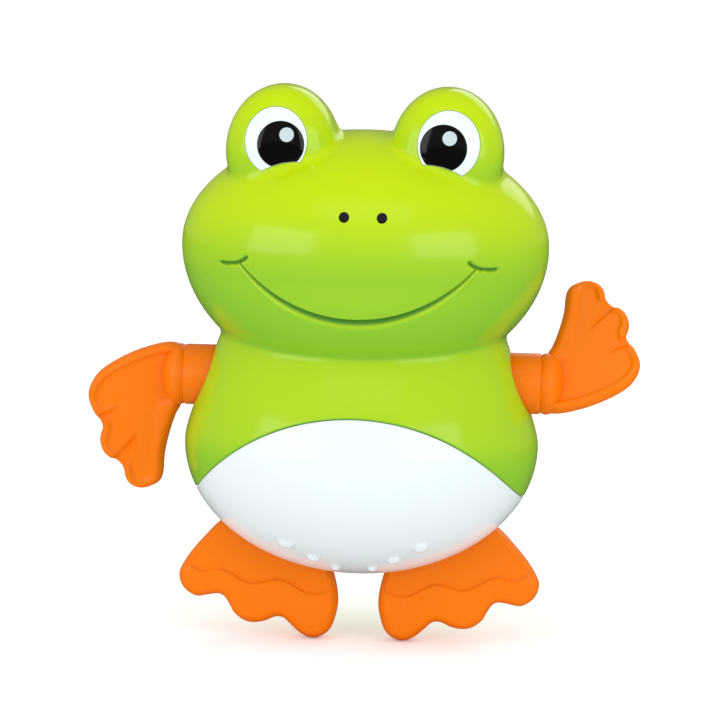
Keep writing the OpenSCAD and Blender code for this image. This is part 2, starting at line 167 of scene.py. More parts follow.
def closed_curve(points: Pairs, steps: int = 24) -> Array:
    """Smooth closed curve through points: Catmull-Rom cubics from each point to the next.

    Args:
        points: The corners that the curve passes through.
        steps: Samples on each stretch.

    Returns:
        Samples along the curve.
    """
    p1 = np.array(points, float)[:, None, :]
    p0, p2, p3 = np.roll(p1, 1, 0), np.roll(p1, -1, 0), np.roll(p1, -2, 0)
    t = np.linspace(0, 1, steps, endpoint=False)[None, :, None]
    square, cube = 2 * p0 - 5 * p1 + 4 * p2 - p3, 3 * p1 - p0 - 3 * p2 + p3
    return ((2 * p1 + (p2 - p0) * t + square * t**2 + cube * t**3) / 2).reshape(-1, 2)


def polar_outline(curve: Array, centre: Pair, angles: Array) -> Array:
    """Distance from a centre to a closed curve that every spoke crosses once.

    Args:
        curve: Samples along the curve.
        centre: A point that sees the whole curve.
        angles: Directions of the spokes, in radians.

    Returns:
        The length of each spoke.
    """
    away = curve - np.array(centre)
    turn = np.arctan2(away[:, 1], away[:, 0])
    order = np.argsort(turn)
    return np.interp(angles, turn[order], np.hypot(away[:, 0], away[:, 1])[order], period=2 * math.pi)


def off_curve(points: Array, curve: Array, chunk: int = 4096) -> Array:
    """Shortest distance from each point to the straight stretches of a closed curve.

    Args:
        points: Places in the plane.
        curve: Samples along the curve.
        chunk: How many points are worked out at once.

    Returns:
        The distance of each point.
    """
    along = np.roll(curve, -1, 0) - curve
    length2 = np.maximum((along**2).sum(-1), 1e-12)
    flat = points.reshape(-1, 1, 2)
    best = []
    for part in np.array_split(flat, max(1, len(flat) // chunk)):
        share = np.clip(((part - curve) * along).sum(-1) / length2, 0, 1)
        best.append(np.linalg.norm(part - curve - share[..., None] * along, axis=-1).min(1))
    return np.concatenate(best).reshape(points.shape[:-1])


# ---- meshes ----


def quads(rows: int, columns: int, start: int = 0, around: bool = False, flip: bool = False) -> Array:
    """Faces of a grid whose points are numbered row by row.

    Args:
        rows: Rows of points.
        columns: Columns of points.
        start: Number of the first point.
        around: Joins the last column to the first.
        flip: Turns the faces over.

    Returns:
        Four point numbers for each face.
    """
    number = start + np.arange(rows * columns).reshape(rows, columns)
    if around:
        number = np.concatenate([number, number[:, :1]], 1)
    corners = [number[:-1, :-1], number[:-1, 1:], number[1:, 1:], number[1:, :-1]]
    return np.stack(corners[::-1] if flip else corners, -1).reshape(-1, 4)


def show(name: str, data: bpy.types.ID) -> Piece:
    """Makes an object of a mesh, camera or light and adds it to the scene.

    Args:
        name: Name of the object.
        data: What it shows.

    Returns:
        The object.
    """
    made = bpy.data.objects.new(name, data)
    bpy.context.scene.collection.objects.link(made)
    return made


def make_piece(name: str, points: Array, faces: Sequence[Array], sharp: float = 40.0) -> Piece:
    """Puts points and faces into a mesh object at the origin, closes its poles and shades it.

    Args:
        name: Name of the piece.
        points: Places in millimetres.
        faces: Arrays of point numbers, each for faces of one size.
        sharp: Angle in degrees past which an edge stays crisp.

    Returns:
        The new object.
    """
    mesh = bpy.data.meshes.new(name)
    mesh.from_pydata((points.reshape(-1, 3) * MM).tolist(), [], [f for part in faces for f in part.tolist()])
    welded = bmesh.new()
    welded.from_mesh(mesh)
    bmesh.ops.remove_doubles(welded, verts=welded.verts, dist=1e-7)
    bmesh.ops.dissolve_degenerate(welded, edges=welded.edges, dist=1e-8)
    welded.to_mesh(mesh)
    welded.free()
    piece = show(name, mesh)
    shade(piece, sharp)
    return piece


def shade(piece: Piece, sharp: float) -> None:
    """Smooths every face and keeps edges crisp past an angle.

    Args:
        piece: A mesh object.
        sharp: The angle in degrees.
    """
    piece.data.shade_smooth()
    piece.data.set_sharp_from_angle(angle=math.radians(sharp))


def join_meshes(name: str, parts: Sequence[Piece]) -> Piece:
    """Gathers separate closed meshes in one object and deletes the loose ones.

    Args:
        name: Name of the gathered piece.
        parts: Objects that don't touch each other.

    Returns:
        The gathered object.
    """
    gathered = bmesh.new()
    for part in parts:
        gathered.from_mesh(part.data)
        bpy.data.objects.remove(part)
    mesh = bpy.data.meshes.new(name)
    gathered.to_mesh(mesh)
    gathered.free()
    return show(name, mesh)


def on_side(piece: Piece, side: int) -> Piece:
    """Mirrors a piece made for the frog's left where the side is -1, faces outward.

    Args:
        piece: The piece.
        side: 1 for the frog's left, -1 for its right.

    Returns:
        The same piece.
    """
    if side < 0:
        piece.data.transform(Matrix.Diagonal((-1, 1, 1, 1)))
        piece.data.flip_normals()
    return piece


def named(piece: Piece, name: str, sharp: float) -> Piece:
    """Names a finished piece and its mesh, and shades it.

    Args:
        piece: The piece.
        name: Its name.
        sharp: Angle past which an edge stays sharp, in degrees.

    Returns:
        The same piece.
    """
    piece.name = piece.data.name = name
    shade(piece, sharp)
    return piece


def combine(piece: Piece, operation: str, tool: Piece) -> None:
    """Unites, cuts or intersects a closed piece with a closed tool, which is used up.

    Args:
        piece: The piece that is changed.
        operation: UNION, DIFFERENCE or INTERSECT.
        tool: The other solid.
    """
    step = piece.modifiers.new("step", "BOOLEAN")
    step.operation = operation
    step.solver = "MANIFOLD"
    step.object = tool
    bpy.context.view_layer.update()
    result = bpy.data.meshes.new_from_object(piece.evaluated_get(bpy.context.evaluated_depsgraph_get()))
    piece.modifiers.remove(step)
    if len(result.polygons) == 0:
        raise RuntimeError(f"{piece.name}: {operation} with {tool.name} left nothing")
    result.name = piece.data.name
    piece.data = result
    bpy.data.objects.remove(tool)


def rod(axis: str, place: Pair, radius: float, start: float, end: float, sides: int = 64) -> Piece:
    """Closed cylinder along X or Y.

    Args:
        axis: "x" or "y".
        place: Its y and z for a rod along X, its x and z for one along Y.
        radius: Its radius.
        start: Where it starts along the axis.
        end: Where it ends.
        sides: Number of its sides.

    Returns:
        The rod.
    """
    profile = np.array([[0, start], [radius, start], [radius, end], [0, end]])
    return lathe("rod", axis, place, profile, sides)


def disc(name: str, layers: Array) -> Piece:
    """Closes a front and a back polar grid, each a row of spokes from the middle out, into one solid.

    Args:
        name: Name of the piece.
        layers: The places of the front, then of the back.

    Returns:
        The solid.
    """
    rows, spokes = layers.shape[1:3]
    size = rows * spokes
    rim = np.arange(spokes) + size - spokes
    ahead = np.roll(rim, -1)
    faces = [quads(rows, spokes, around=True, flip=True), quads(rows, spokes, size, around=True)]
    faces.append(np.stack([rim, rim + size, ahead + size, ahead], -1))
    return make_piece(name, layers, faces, 50)


def lathe(
    name: str, axis: str, place: Pair, profile: Array, sides: int = 96, flute: Array | None = None
) -> Piece:
    """Solid of revolution: each profile point (radius, station) is carried round the axis.

    Args:
        name: Name of the piece.
        axis: "x" or "y".
        place: The axis's other two coordinates.
        profile: Radius and station of each ring, from one pole to the other.
        sides: Points on each ring.
        flute: Radius taken off at each ring and side, if any.

    Returns:
        The solid.
    """
    turn = np.arange(sides) * 2 * math.pi / sides
    radius = profile[:, :1] - (0 if flute is None else flute)
    across = radius * np.cos(turn) + place[0]
    up = radius * np.sin(turn) + place[1]
    along = np.broadcast_to(profile[:, 1:], across.shape)
    order = (along, across, up) if axis == "x" else (across, along, up)
    forward = (profile[-1, 1] > profile[0, 1]) == (axis == "x")
    faces = quads(len(profile), sides, around=True, flip=not forward)
    return make_piece(name, np.stack(order, -1), [faces], 35)


# ---- the skin that every shell follows ----


@dataclass(frozen=True)
class Skin:
    """Outer skin: a head, a torso and two eye bumps, blended, met by rays from an upright spine.

    A ray has a turn, 0 at the front and 90 degrees at the frog's left, and a height. From -1 to 0 the
    rays fan down from the waist, from 0 to 1 they leave level up to the head's widest line, and from 1 to
    2 they fan up over the crown.
    """

    head_w: float = 91.2
    head_z: float = 100.0
    head_up: float = 28.6
    head_down: float = 34.5
    face_depth: float = 37.5
    nape_depth: float = 32.0
    bump_x: float = 20.1
    bump_y: float = -8.0
    bump_z: float = 123.6
    bump_half: float = 13.9
    bump_rise: float = 16.2
    bump_deep: float = 14.5
    torso_w: float = 88.4
    waist_z: float = 50.5
    torso_down: float = 32.7
    belly_depth: float = 38.5
    back_depth: float = 33.0
    shoulder_slope: float = 0.0084
    torso_top: float = 86.0
    neck_fillet: float = 1.5
    chin: float = 0.14
    chest_drop: float = 0.075
    bump_fillet: float = 2.2

    def head(self, p: Array) -> Array:
        """Half ellipsoids above, below, before and behind the head's widest line, fuller at the chin.

        Args:
            p: Places, with x, y and z last.

        Returns:
            Their distance outside the head.
        """
        x, y, z = np.moveaxis(p, -1, 0)
        fuller = 1 + self.chin * smooth(94, 74, z)
        deep = np.where(y < 0, self.face_depth * fuller, self.nape_depth)
        tall = np.where(z > self.head_z, self.head_up, self.head_down)
        parts = (2 * x / self.head_w) ** 2 + (y / deep) ** 2 + ((z - self.head_z) / tall) ** 2
        return (np.sqrt(parts) - 1) * self.face_depth

    def torso(self, p: Array) -> Array:
        """An oval bowl below the waist, and above it an oval post that narrows to the shoulders.

        Args:
            p: Places, with x, y and z last.

        Returns:
            Their distance outside the torso.
        """
        x, y, z = np.moveaxis(p, -1, 0)
        set_back = 1 - self.chest_drop * smooth(58, 78, z)
        deep = np.where(y < 0, self.belly_depth * set_back, self.back_depth)
        taper = 1 - self.shoulder_slope * (np.hypot(np.maximum(z - self.waist_z, 0), 4) - 4)
        drop = np.maximum(self.waist_z - z, 0) / self.torso_down
        parts = (2 * x / (self.torso_w * taper)) ** 2 + (y / (deep * taper)) ** 2 + drop**2
        return (np.sqrt(parts) - 1) * self.belly_depth + (np.maximum(z - self.torso_top, 0) / 2) ** 2

    def bump(self, p: Array) -> Array:
        """Two eye bumps, each a cube-power blend of an oval face and its depth.

        Args:
            p: Places, with x, y and z last.

        Returns:
            Their distance outside the nearer bump.
        """
        x, y, z = np.moveaxis(p, -1, 0)
        face = np.hypot((np.abs(x) - self.bump_x) / self.bump_half, (z - self.bump_z) / self.bump_rise)
        deep = np.abs(y - self.bump_y) / self.bump_deep
        return ((face**3 + deep**3) ** (1 / 3) - 1) * self.bump_half

    def distance(self, p: Array) -> Array:
        """Distance outside the blended skin, negative inside it."""
        return blend(blend(self.head(p), self.torso(p), self.neck_fillet), self.bump(p), self.bump_fillet)

    def normal(self, p: Array, step: float = 0.02) -> Array:
        """Outward direction: the slope of the distance, by differences.

        Args:
            p: Places on the skin.
            step: Length of each difference.

        Returns:
            A unit vector at each place.
        """
        slope = np.stack([self.distance(p + step * e) - self.distance(p - step * e) for e in np.eye(3)], -1)
        return slope / np.linalg.norm(slope, axis=-1, keepdims=True)

    def rays(self, turn: Array, height: Array) -> tuple[Array, Array]:
        """Start and direction of rays.

        Args:
            turn: Their turns in degrees.
            height: Their heights, from -1 to 2.

        Returns:
            Where each ray leaves the spine, and its direction.
        """
        level = np.clip(height, 0, 1)
        lift = np.radians(90 * (height - level))
        turn = np.radians(turn)
        none = 0 * turn
        spine = self.waist_z + (self.head_z - self.waist_z) * level + none
        way = np.stack([np.sin(turn) * np.cos(lift), -np.cos(turn) * np.cos(lift), np.sin(lift) + none], -1)
        return np.stack([none, none, spine], -1), way

    def surface(self, turn: Array, height: Array, inset: float = 0.0) -> Array:
        """Places where rays meet the skin.

        Args:
            turn: Their turns in degrees.
            height: Their heights, from -1 to 2.
            inset: How far short of the skin they stop.

        Returns:
            The places.
        """
        start, way = self.rays(turn, height)
        near, far = np.full(turn.shape, 5.0), np.full(turn.shape, 80.0)
        length = solve(lambda t: self.distance(start + t[..., None] * way) < 0, near, far)
        return start + (length - inset)[..., None] * way

    def face_y(self, x: Array, z: Array) -> Array:
        """Depth of the skin straight behind a place seen from the front.

        Args:
            x: Places across.
            z: Heights.

        Returns:
            The y of the skin.
        """
        inner, outer = np.full(x.shape, self.bump_y + 2.0), np.full(x.shape, -60.0)
        return solve(lambda y: self.distance(np.stack([x, y, z], -1)) < 0, inner, outer)

    def height_where(self, turn: Array, value: Callable[[Array], Array], low: float, high: float) -> Array:
        """Height at which a value of the surface turns positive, for each turn.

        Args:
            turn: The turns in degrees.
            value: A function of places, negative below the crossing.
            low: A height below it.
            high: A height above it.

        Returns:
            The height of the crossing at each turn.
        """
        ends = np.full(turn.shape, low), np.full(turn.shape, high)
        return solve(lambda h: value(self.surface(turn, h)) < 0, *ends, 18)

    def neck(self, turn: Array) -> Array:
        """Height of the crease between torso and head, for each turn."""
        return self.height_where(turn, lambda p: self.torso(p) - self.head(p), 0.2, 0.75)


# ---- what is drawn on the skin ----


@dataclass(frozen=True)
class Arch:
    """Line where the belly panel meets the front shell: a circle seen from the front."""

    radius: float = 48.3
    centre_z: float = 12.9

    def above(self, p: Array) -> Array:
        """Distance outside the circle, positive on the green side."""
        return np.hypot(p[..., 0], p[..., 2] - self.centre_z) - self.radius


@dataclass(frozen=True)
class Smile:
    """Mouth line: an arc with a sharp upper lip, a soft lower lip and a crease at each end."""

    radius: float = 38.2
    centre_z: float = 123.1
    half_width: float = 28.15
    depth: float = 1.3
    lip: float = 0.17
    ease: float = 2.2
    crease: Pairs = ((26.7, 98.7), (28.5, 96.7), (33.0, 97.0))
    crease_half: float = 0.44
    crease_depth: float = 0.75

    def line(self, x: Array) -> Array:
        """Height of the mouth line, carried on almost level past its ends.

        Args:
            x: Places across.

        Returns:
            The line's z.
        """
        across = np.minimum(np.abs(x), self.half_width)
        beyond = np.maximum(np.abs(x) - self.half_width, 0)
        return self.centre_z - np.sqrt(self.radius**2 - across**2) + 0.5 * (1 - np.exp(-2 * beyond))

    def relief(self, p: Array) -> Array:
        """Height of the skin's relief: a groove whose floor rises from the upper lip to a rolled lower lip.

        Args:
            p: Places on the skin.

        Returns:
            The relief, negative in the groove.
        """
        x, z = np.abs(p[..., 0]), p[..., 2]
        away = np.hypot(x, z - self.centre_z) - self.radius
        share = np.clip(x / self.half_width, 0, 1)
        fade = (1 - 0.45 * share**2) * (1 - smooth(1.0, 1.025, x / self.half_width))
        ease = self.ease * (1 - 0.72 * share**2.5)
        fall = smooth(-self.lip, self.lip, away)
        rise = np.clip((away - self.lip) / ease, 0, 1)
        groove = -self.depth * fade * fall * (1 - rise) ** 1.6
        rolled = 0.08 * fade * np.exp(-(((away - self.lip - ease) / (0.45 * ease)) ** 2))
        t = np.linspace(0, 1, 25)[:, None]
        a, b, c = (np.array(q) for q in self.crease)
        bow = (1 - t) ** 2 * a + 2 * t * (1 - t) * b + t**2 * c
        near = off_curve(np.stack([x, z], -1), np.concatenate([bow, bow[-2:0:-1]]))
        crease = -self.crease_depth * (1 - smooth(0.35 * self.crease_half, 1.5 * self.crease_half, near))
        return np.where(crease < 0, np.minimum(groove, crease), groove + rolled)


@dataclass(frozen=True)
class Nubs:
    """Drip nubs under the belly: domes on rays, growing towards the sides."""

    turn: float = 13.5
    lift: float = -56.0
    step: float = 10.0
    radius: float = 1.25
    growth: float = 0.4
    height: float = 0.85

    def relief(self, skin: Skin, p: Array) -> Array:
        """Height of the domes, each a smooth step down from its middle to its edge.

        Args:
            skin: The skin that they stand on.
            p: Places on it.

        Returns:
            The relief.
        """
        place = np.arange(3)
        centre = skin.surface(self.turn + self.step * place, (self.lift + self.step * place) / 90)
        mirrored = np.abs(p[..., 0:1]) * np.array([1.0, 0, 0]) + p * np.array([0, 1.0, 1.0])
        total = np.zeros(p.shape[:-1])
        for k in range(3):
            radius = self.radius + self.growth * k
            away = np.linalg.norm(mirrored - centre[k], axis=-1)
            dome = np.sqrt(np.clip(1 - (away / radius) ** 2, 0, 1))
            total = np.maximum(total, (self.height + 0.12 * k) * dome)
        return total


# ---- shells ----


@dataclass(frozen=True)
class Mould:
    """What every shell shares: the skin, its wall, its seams and the fittings inside."""

    skin: Skin = Skin()
    arch: Arch = Arch()
    smile: Smile = Smile()
    nubs: Nubs = Nubs()
    wall: float = 2.0
    gap: float = 0.07
    edge: float = 0.4
    axle_z: float = 66.4
    arbor_z: float = 49.0
    socket_r: float = 8.15
    collar_r: float = 9.65
    socket_x: float = 33.0
    bush_r: float = 4.05
    bush_x: float = 29.0
    posts: Pairs = ((28, 92), (29, 57), (26, 39.5))
    pegs: Pairs = ((19.5, 29.5),)
    arch_foot: float = 45.0
    boss_r: float = 3.2
    pilot_r: float = 1.3
    screw_seat: float = 8.0
    recess_r: float = 2.9
    past_skin: float = 60.0

    def rounded(self, away: Array) -> Array:
        """Depth that a quarter circle takes off the skin within the edge radius of a seam.

        Args:
            away: Distance from the seam.

        Returns:
            The depth, from the radius at the seam to 0.
        """
        short = np.clip(self.edge - away, 0, self.edge)
        return self.edge - np.sqrt(self.edge**2 - short**2)

    def sheet(self, turn: Array, height: Array, inset: float, side: int) -> Array:
        """A wall's places, kept on their side of the parting plane.

        Args:
            turn: Turns of the grid.
            height: Heights of the grid.
            inset: How far it lies inside the skin.
            side: -1 in front of the parting plane, 1 behind it.

        Returns:
            The grid of places.
        """
        p = self.skin.surface(turn, height, inset)
        # the walls close up behind the seam, so that no light comes through it
        p[..., 1] = side * np.maximum(side * p[..., 1], self.gap if inset == 0 else 0.004)
        return p

    def core(self, side: int) -> Piece:
        """Solid half body, half a wall inside the skin, that fittings are trimmed to.

        Args:
            side: -1 for the front, 1 for the back.

        Returns:
            The closed solid.
        """
        rows, columns = 121, 61
        turns = np.linspace(-90, 90, columns) + (0 if side < 0 else 180)
        turn, height = np.meshgrid(turns, np.linspace(-1, 2, rows))
        p = self.sheet(turn, height, self.wall / 2, side)
        rim = np.stack([p[:, -1], p[:, 0]], 1)
        points = np.concatenate([p.reshape(-1, 3), rim.reshape(-1, 3)])
        return make_piece("core", points, [quads(rows, columns), quads(rows, 2, rows * columns)])

    def half_wall(
        self, name: str, side: int, turn: Array, bands: Sequence[Band],
        inside: Callable[[Array], Array] | None = None, relief: Callable[[Array], Array] | None = None,
    ) -> Piece:
        """Makes one part of the body wall, rounded along its seams.

        Args:
            name: Name of the part.
            side: -1 in front of the parting plane, 1 behind it.
            turn: Turn of each column.
            bands: The lowest and highest height of each column, and how far up between them each row lies.
            inside: How far places lie inside the part's other seam, if it has one.
            relief: How far the outer face is raised, if it is.

        Returns:
            The part.
        """
        height = np.concatenate([low + share[:, None] * (high - low) for low, high, share in bands])
        turn = np.broadcast_to(turn, height.shape)
        outer = self.sheet(turn, height, 0, side)
        seam = side * outer[..., 1]
        if inside:
            seam = np.minimum(seam, inside(outer))
        raised = relief(outer) if relief else 0.0
        depth = raised - self.rounded(np.maximum(seam - self.gap, 0))
        outer = outer + depth[..., None] * self.skin.normal(outer)
        outer[..., 1] = side * np.maximum(side * outer[..., 1], self.gap)
        return self.shell(name, outer, self.sheet(turn, height, self.wall, side))

    def shell(self, name: str, outer: Array, inner: Array) -> Piece:
        """Closes an outer and an inner grid of the same size into one wall.

        Args:
            name: Name of the shell.
            outer: Outer places.
            inner: Inner places, in the same order.

        Returns:
            The closed shell.
        """
        rows, columns = outer.shape[:2]
        size = rows * columns
        number = np.arange(size).reshape(rows, columns)
        edge = np.concatenate([number[0, :-1], number[:-1, -1], number[-1, :0:-1], number[:0:-1, 0]])
        ahead = np.roll(edge, -1)
        rim = np.stack([edge, edge + size, ahead + size, ahead], -1)
        faces = [quads(rows, columns), quads(rows, columns, size, flip=True), rim]
        return make_piece(name, np.concatenate([outer.reshape(-1, 3), inner.reshape(-1, 3)]), faces)

    def pairs(self, places: Pairs) -> list[Pair]:
        """Each place and its mirror image."""
        return [(side * x, z) for x, z in places for side in (-1, 1)]

    def fit(self, shell: Piece, side: int, bars: Sequence[tuple[float, ...]]) -> None:
        """Adds bars along Y inside a shell, trimmed to half its wall.

        Args:
            shell: The shell.
            side: -1 for the front, 1 for the back.
            bars: x, z, radius and inner end of each bar, none touching another.
        """
        ends = [sorted((side * self.past_skin, side * bar[3])) for bar in bars]
        rods = [rod("y", bar[:2], bar[2], *end, 32) for bar, end in zip(bars, ends)]
        fittings = join_meshes("fittings", rods)
        combine(fittings, "INTERSECT", self.core(side))
        combine(shell, "UNION", fittings)

    def add_collars(self, shell: Piece, side: int) -> None:
        """Adds the half tubes that the shoulders turn in, trimmed to half the wall.

        Args:
            shell: The shell.
            side: -1 for the front, 1 for the back.
        """
        inner = self.socket_x - self.wall
        ends = ((inner, 46.0), (-46.0, -inner))
        tubes = [rod("x", (0, self.axle_z), self.collar_r, *end, 96) for end in ends]
        collars = join_meshes("collars", tubes)
        combine(collars, "INTERSECT", self.core(side))
        combine(shell, "UNION", collars)

    def bore(self, shell: Piece) -> None:
        """Cuts the shoulder sockets and the holes for their bushes.

        Args:
            shell: The shell.
        """
        socket = (self.socket_r, self.socket_x, self.past_skin)
        bush = (self.bush_r, self.bush_x, self.socket_x + 1)
        for radius, inner, outer in (socket, bush):
            ends = ((inner, outer), (-outer, -inner))
            holes = [rod("x", (0, self.axle_z), radius, *end, 160) for end in ends]
            combine(shell, "DIFFERENCE", join_meshes("holes", holes))

    def drill(self, shell: Piece, holes: Sequence[tuple[float, ...]]) -> None:
        """Cuts round holes along Y.

        Args:
            shell: The shell.
            holes: x, z, radius and the two ends of each hole, none touching another.
        """
        combine(shell, "DIFFERENCE", join_meshes("holes", [rod("y", h[:2], *h[2:]) for h in holes]))


def finish_piece(
    piece: Piece, part: Part, nodes: Sequence[str], finish: "Finish"
) -> None:
    """Dresses a piece, sets it on its body and hides the CAD nodes that it replaces.

    Args:
        piece: The piece.
        part: The body that it rides on.
        nodes: The CAD nodes that it replaces.
        finish: What its surface is made of.
    """
    piece.data.materials.clear()
    piece.data.materials.append(finish.material())
    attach(piece, part.value)
    if nodes:
        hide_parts(*nodes)
    log.info("%s: %d faces on %s", piece.name, len(piece.data.polygons), part.value)


@dataclass(frozen=True)
class FrontShell:
    """Green face and chest, from the belly arch up to the crown."""

    mould: Mould
    eyes: "Eyes"
    turn_step: float = 1.05
    row_step: float = 0.85

    def grid(self) -> tuple[Array, list[Band]]:
        """Columns and bands of the grid, whose rows follow the arch, the neck and the mouth line.

        Returns:
            Turn of each column, and the bands of rows from the arch up.
        """
        skin, mould = self.mould.skin, self.mould
        seam = (0.0, 0.1), (180.0, 0.1)
        corners = [(place, 0.22) for place in (*range(38, 51), *range(130, 143))]
        turn = -90 + 180 * spread(180, self.turn_step, [*seam, *corners])
        arch = skin.height_where(turn, lambda p: mould.arch.above(p) - mould.gap, -1.0, 0.9)
        neck = skin.neck(turn)
        mouth = skin.height_where(turn, lambda p: p[..., 2] - mould.smile.line(p[..., 0]), 0.5, 1.2)
        crown = np.full(turn.shape, 2.0)
        chest = spread(22, self.row_step, [(0, 0.07), (22, 0.25)])
        chin = spread(13, self.row_step, [(0, 0.25), (11.9, 0.16), (13, 0.12)], 0.2)
        face = spread(75, self.row_step, [(place, 0.15) for place in (0.0, 0.9, 1.8, 2.7, 3.6)], 0.2)
        return turn, [(arch, neck, chest[:-1]), (neck, mouth, chin[:-1]), (mouth, crown, face)]

    def build(self) -> Piece:
        """Makes the wall, its relief, its fittings and its holes.

        Returns:
            The shell.
        """
        mould = self.mould
        arch, smile = mould.arch, mould.smile
        shell = mould.half_wall("front_shell_moulding", -1, *self.grid(), arch.above, smile.relief)
        posts = [place for place in mould.pairs(mould.posts) if place[1] > mould.arch_foot]
        mould.fit(shell, -1, [(x, z, mould.boss_r, mould.gap) for x, z in posts])
        mould.add_collars(shell, -1)
        mould.bore(shell)
        mould.drill(shell, [(x, z, mould.pilot_r, -10, 1) for x, z in posts])
        for side in (-1, 1):
            combine(shell, "DIFFERENCE", self.eyes.plug(side))
        self.mark_groove_shade(shell)
        shade(shell, 38)
        return shell

    def mark_groove_shade(self, shell: Piece) -> None:
        """Stores how deep each corner lies in the mouth line, from 0 to 1, as the attribute groove, which the
        green's material turns into painted shade.

        Args:
            shell: The shell.
        """
        flat = np.empty(3 * len(shell.data.vertices))
        shell.data.vertices.foreach_get("co", flat)
        p = flat.reshape(-1, 3) / MM
        smile = self.mould.smile
        deep = smooth(0.03, 0.6, -smile.relief(p) / smile.depth)
        outside = (self.mould.skin.distance(p) > -1.6) & (p[:, 1] < -5)
        # painted shade mask: the deeper in the mouth groove, the darker the green is painted
        groove = shell.data.attributes.new("groove", "FLOAT", "POINT")
        groove.data.foreach_set("value", np.where(outside, deep, 0).astype(np.float32))


@dataclass(frozen=True)
class BellyPanel:
    """White belly, from the bottom up to the arch."""

    mould: Mould
    limbs: "Leg"

    def build(self) -> Piece:
        """Makes the wall with its drip nubs, its posts and its leg slots.

        Returns:
            The panel.
        """
        mould = self.mould
        skin = mould.skin
        turn = -90 + 180 * spread(180, 0.95, [(0, 0.1), (180, 0.1)])
        arch = skin.height_where(turn, lambda p: mould.arch.above(p) + mould.gap, -1.0, 0.9)
        bands = [(np.full(turn.shape, -1.0), arch, spread(62, 0.36, [(62, 0.07)]))]
        panel = mould.half_wall(
            "belly_panel_moulding", -1, turn, bands,
            lambda p: -mould.arch.above(p), lambda p: mould.nubs.relief(skin, p),
        )
        posts = [place for place in mould.pairs(mould.posts) if place[1] < mould.arch_foot]
        mould.fit(panel, -1, [(x, z, mould.boss_r, mould.gap) for x, z in posts])
        mould.drill(panel, [(x, z, mould.pilot_r, -10, 1) for x, z in posts])
        for side in (-1, 1):
            combine(panel, "DIFFERENCE", self.limbs.slot_tool(side))
        shade(panel, 38)
        return panel


@dataclass(frozen=True)
class BackShell:
    """Green back, from the bottom up to the crown, with the screws and the knob's hole."""

    mould: Mould
    limbs: "Leg"
    ears: Pairs = ((-19.4, 61.4), (17.8, 61.4), (-13.8, 35.6), (13.8, 35.6))

    def build(self) -> Piece:
        """Makes the wall, its fittings and its holes.

        Returns:
            The shell.
        """
        mould = self.mould
        turn = 90 + 180 * spread(180, 1.0, [(0, 0.1), (180, 0.1)])
        neck = mould.skin.neck(turn)
        bottom, crown = np.full(turn.shape, -1.0), np.full(turn.shape, 2.0)
        trunk = spread(68, 0.8, [(68, 0.25)])[:-1]
        nape = spread(70, 0.8, [(0, 0.25)])
        bands = [(bottom, neck, trunk), (neck, crown, nape)]
        shell = mould.half_wall("back_shell_moulding", 1, turn, bands)
        posts = mould.pairs(mould.posts)
        arbor = (0.0, mould.arbor_z)
        mould.fit(shell, 1, [(x, z, 4.0, mould.gap) for x, z in posts])
        mould.add_collars(shell, 1)
        mould.fit(shell, 1, [(x, z, 2.8, 21.25) for x, z in self.ears] + [(*arbor, 5.6, 25.0)])
        mould.fit(shell, 1, [(x, z, 2.0, mould.gap) for x, z in mould.pairs(mould.pegs)])
        mould.bore(shell)
        mould.drill(shell, [(x, z, 1.4, -1, 60) for x, z in posts] + [(*arbor, 2.0, 20, 60)])
        mould.drill(shell, [(x, z, mould.recess_r, mould.screw_seat, 60) for x, z in posts])
        mould.drill(shell, [(x, z, mould.pilot_r, 10, 25.2) for x, z in self.ears])
        mould.drill(shell, [(*arbor, 3.55, 20, 28.4), (*arbor, 3.7, 30.4, 60)])
        for side in (-1, 1):
            combine(shell, "DIFFERENCE", self.limbs.slot_tool(side))
        shade(shell, 38)
        return shell


# ---- eyes and nostrils ----


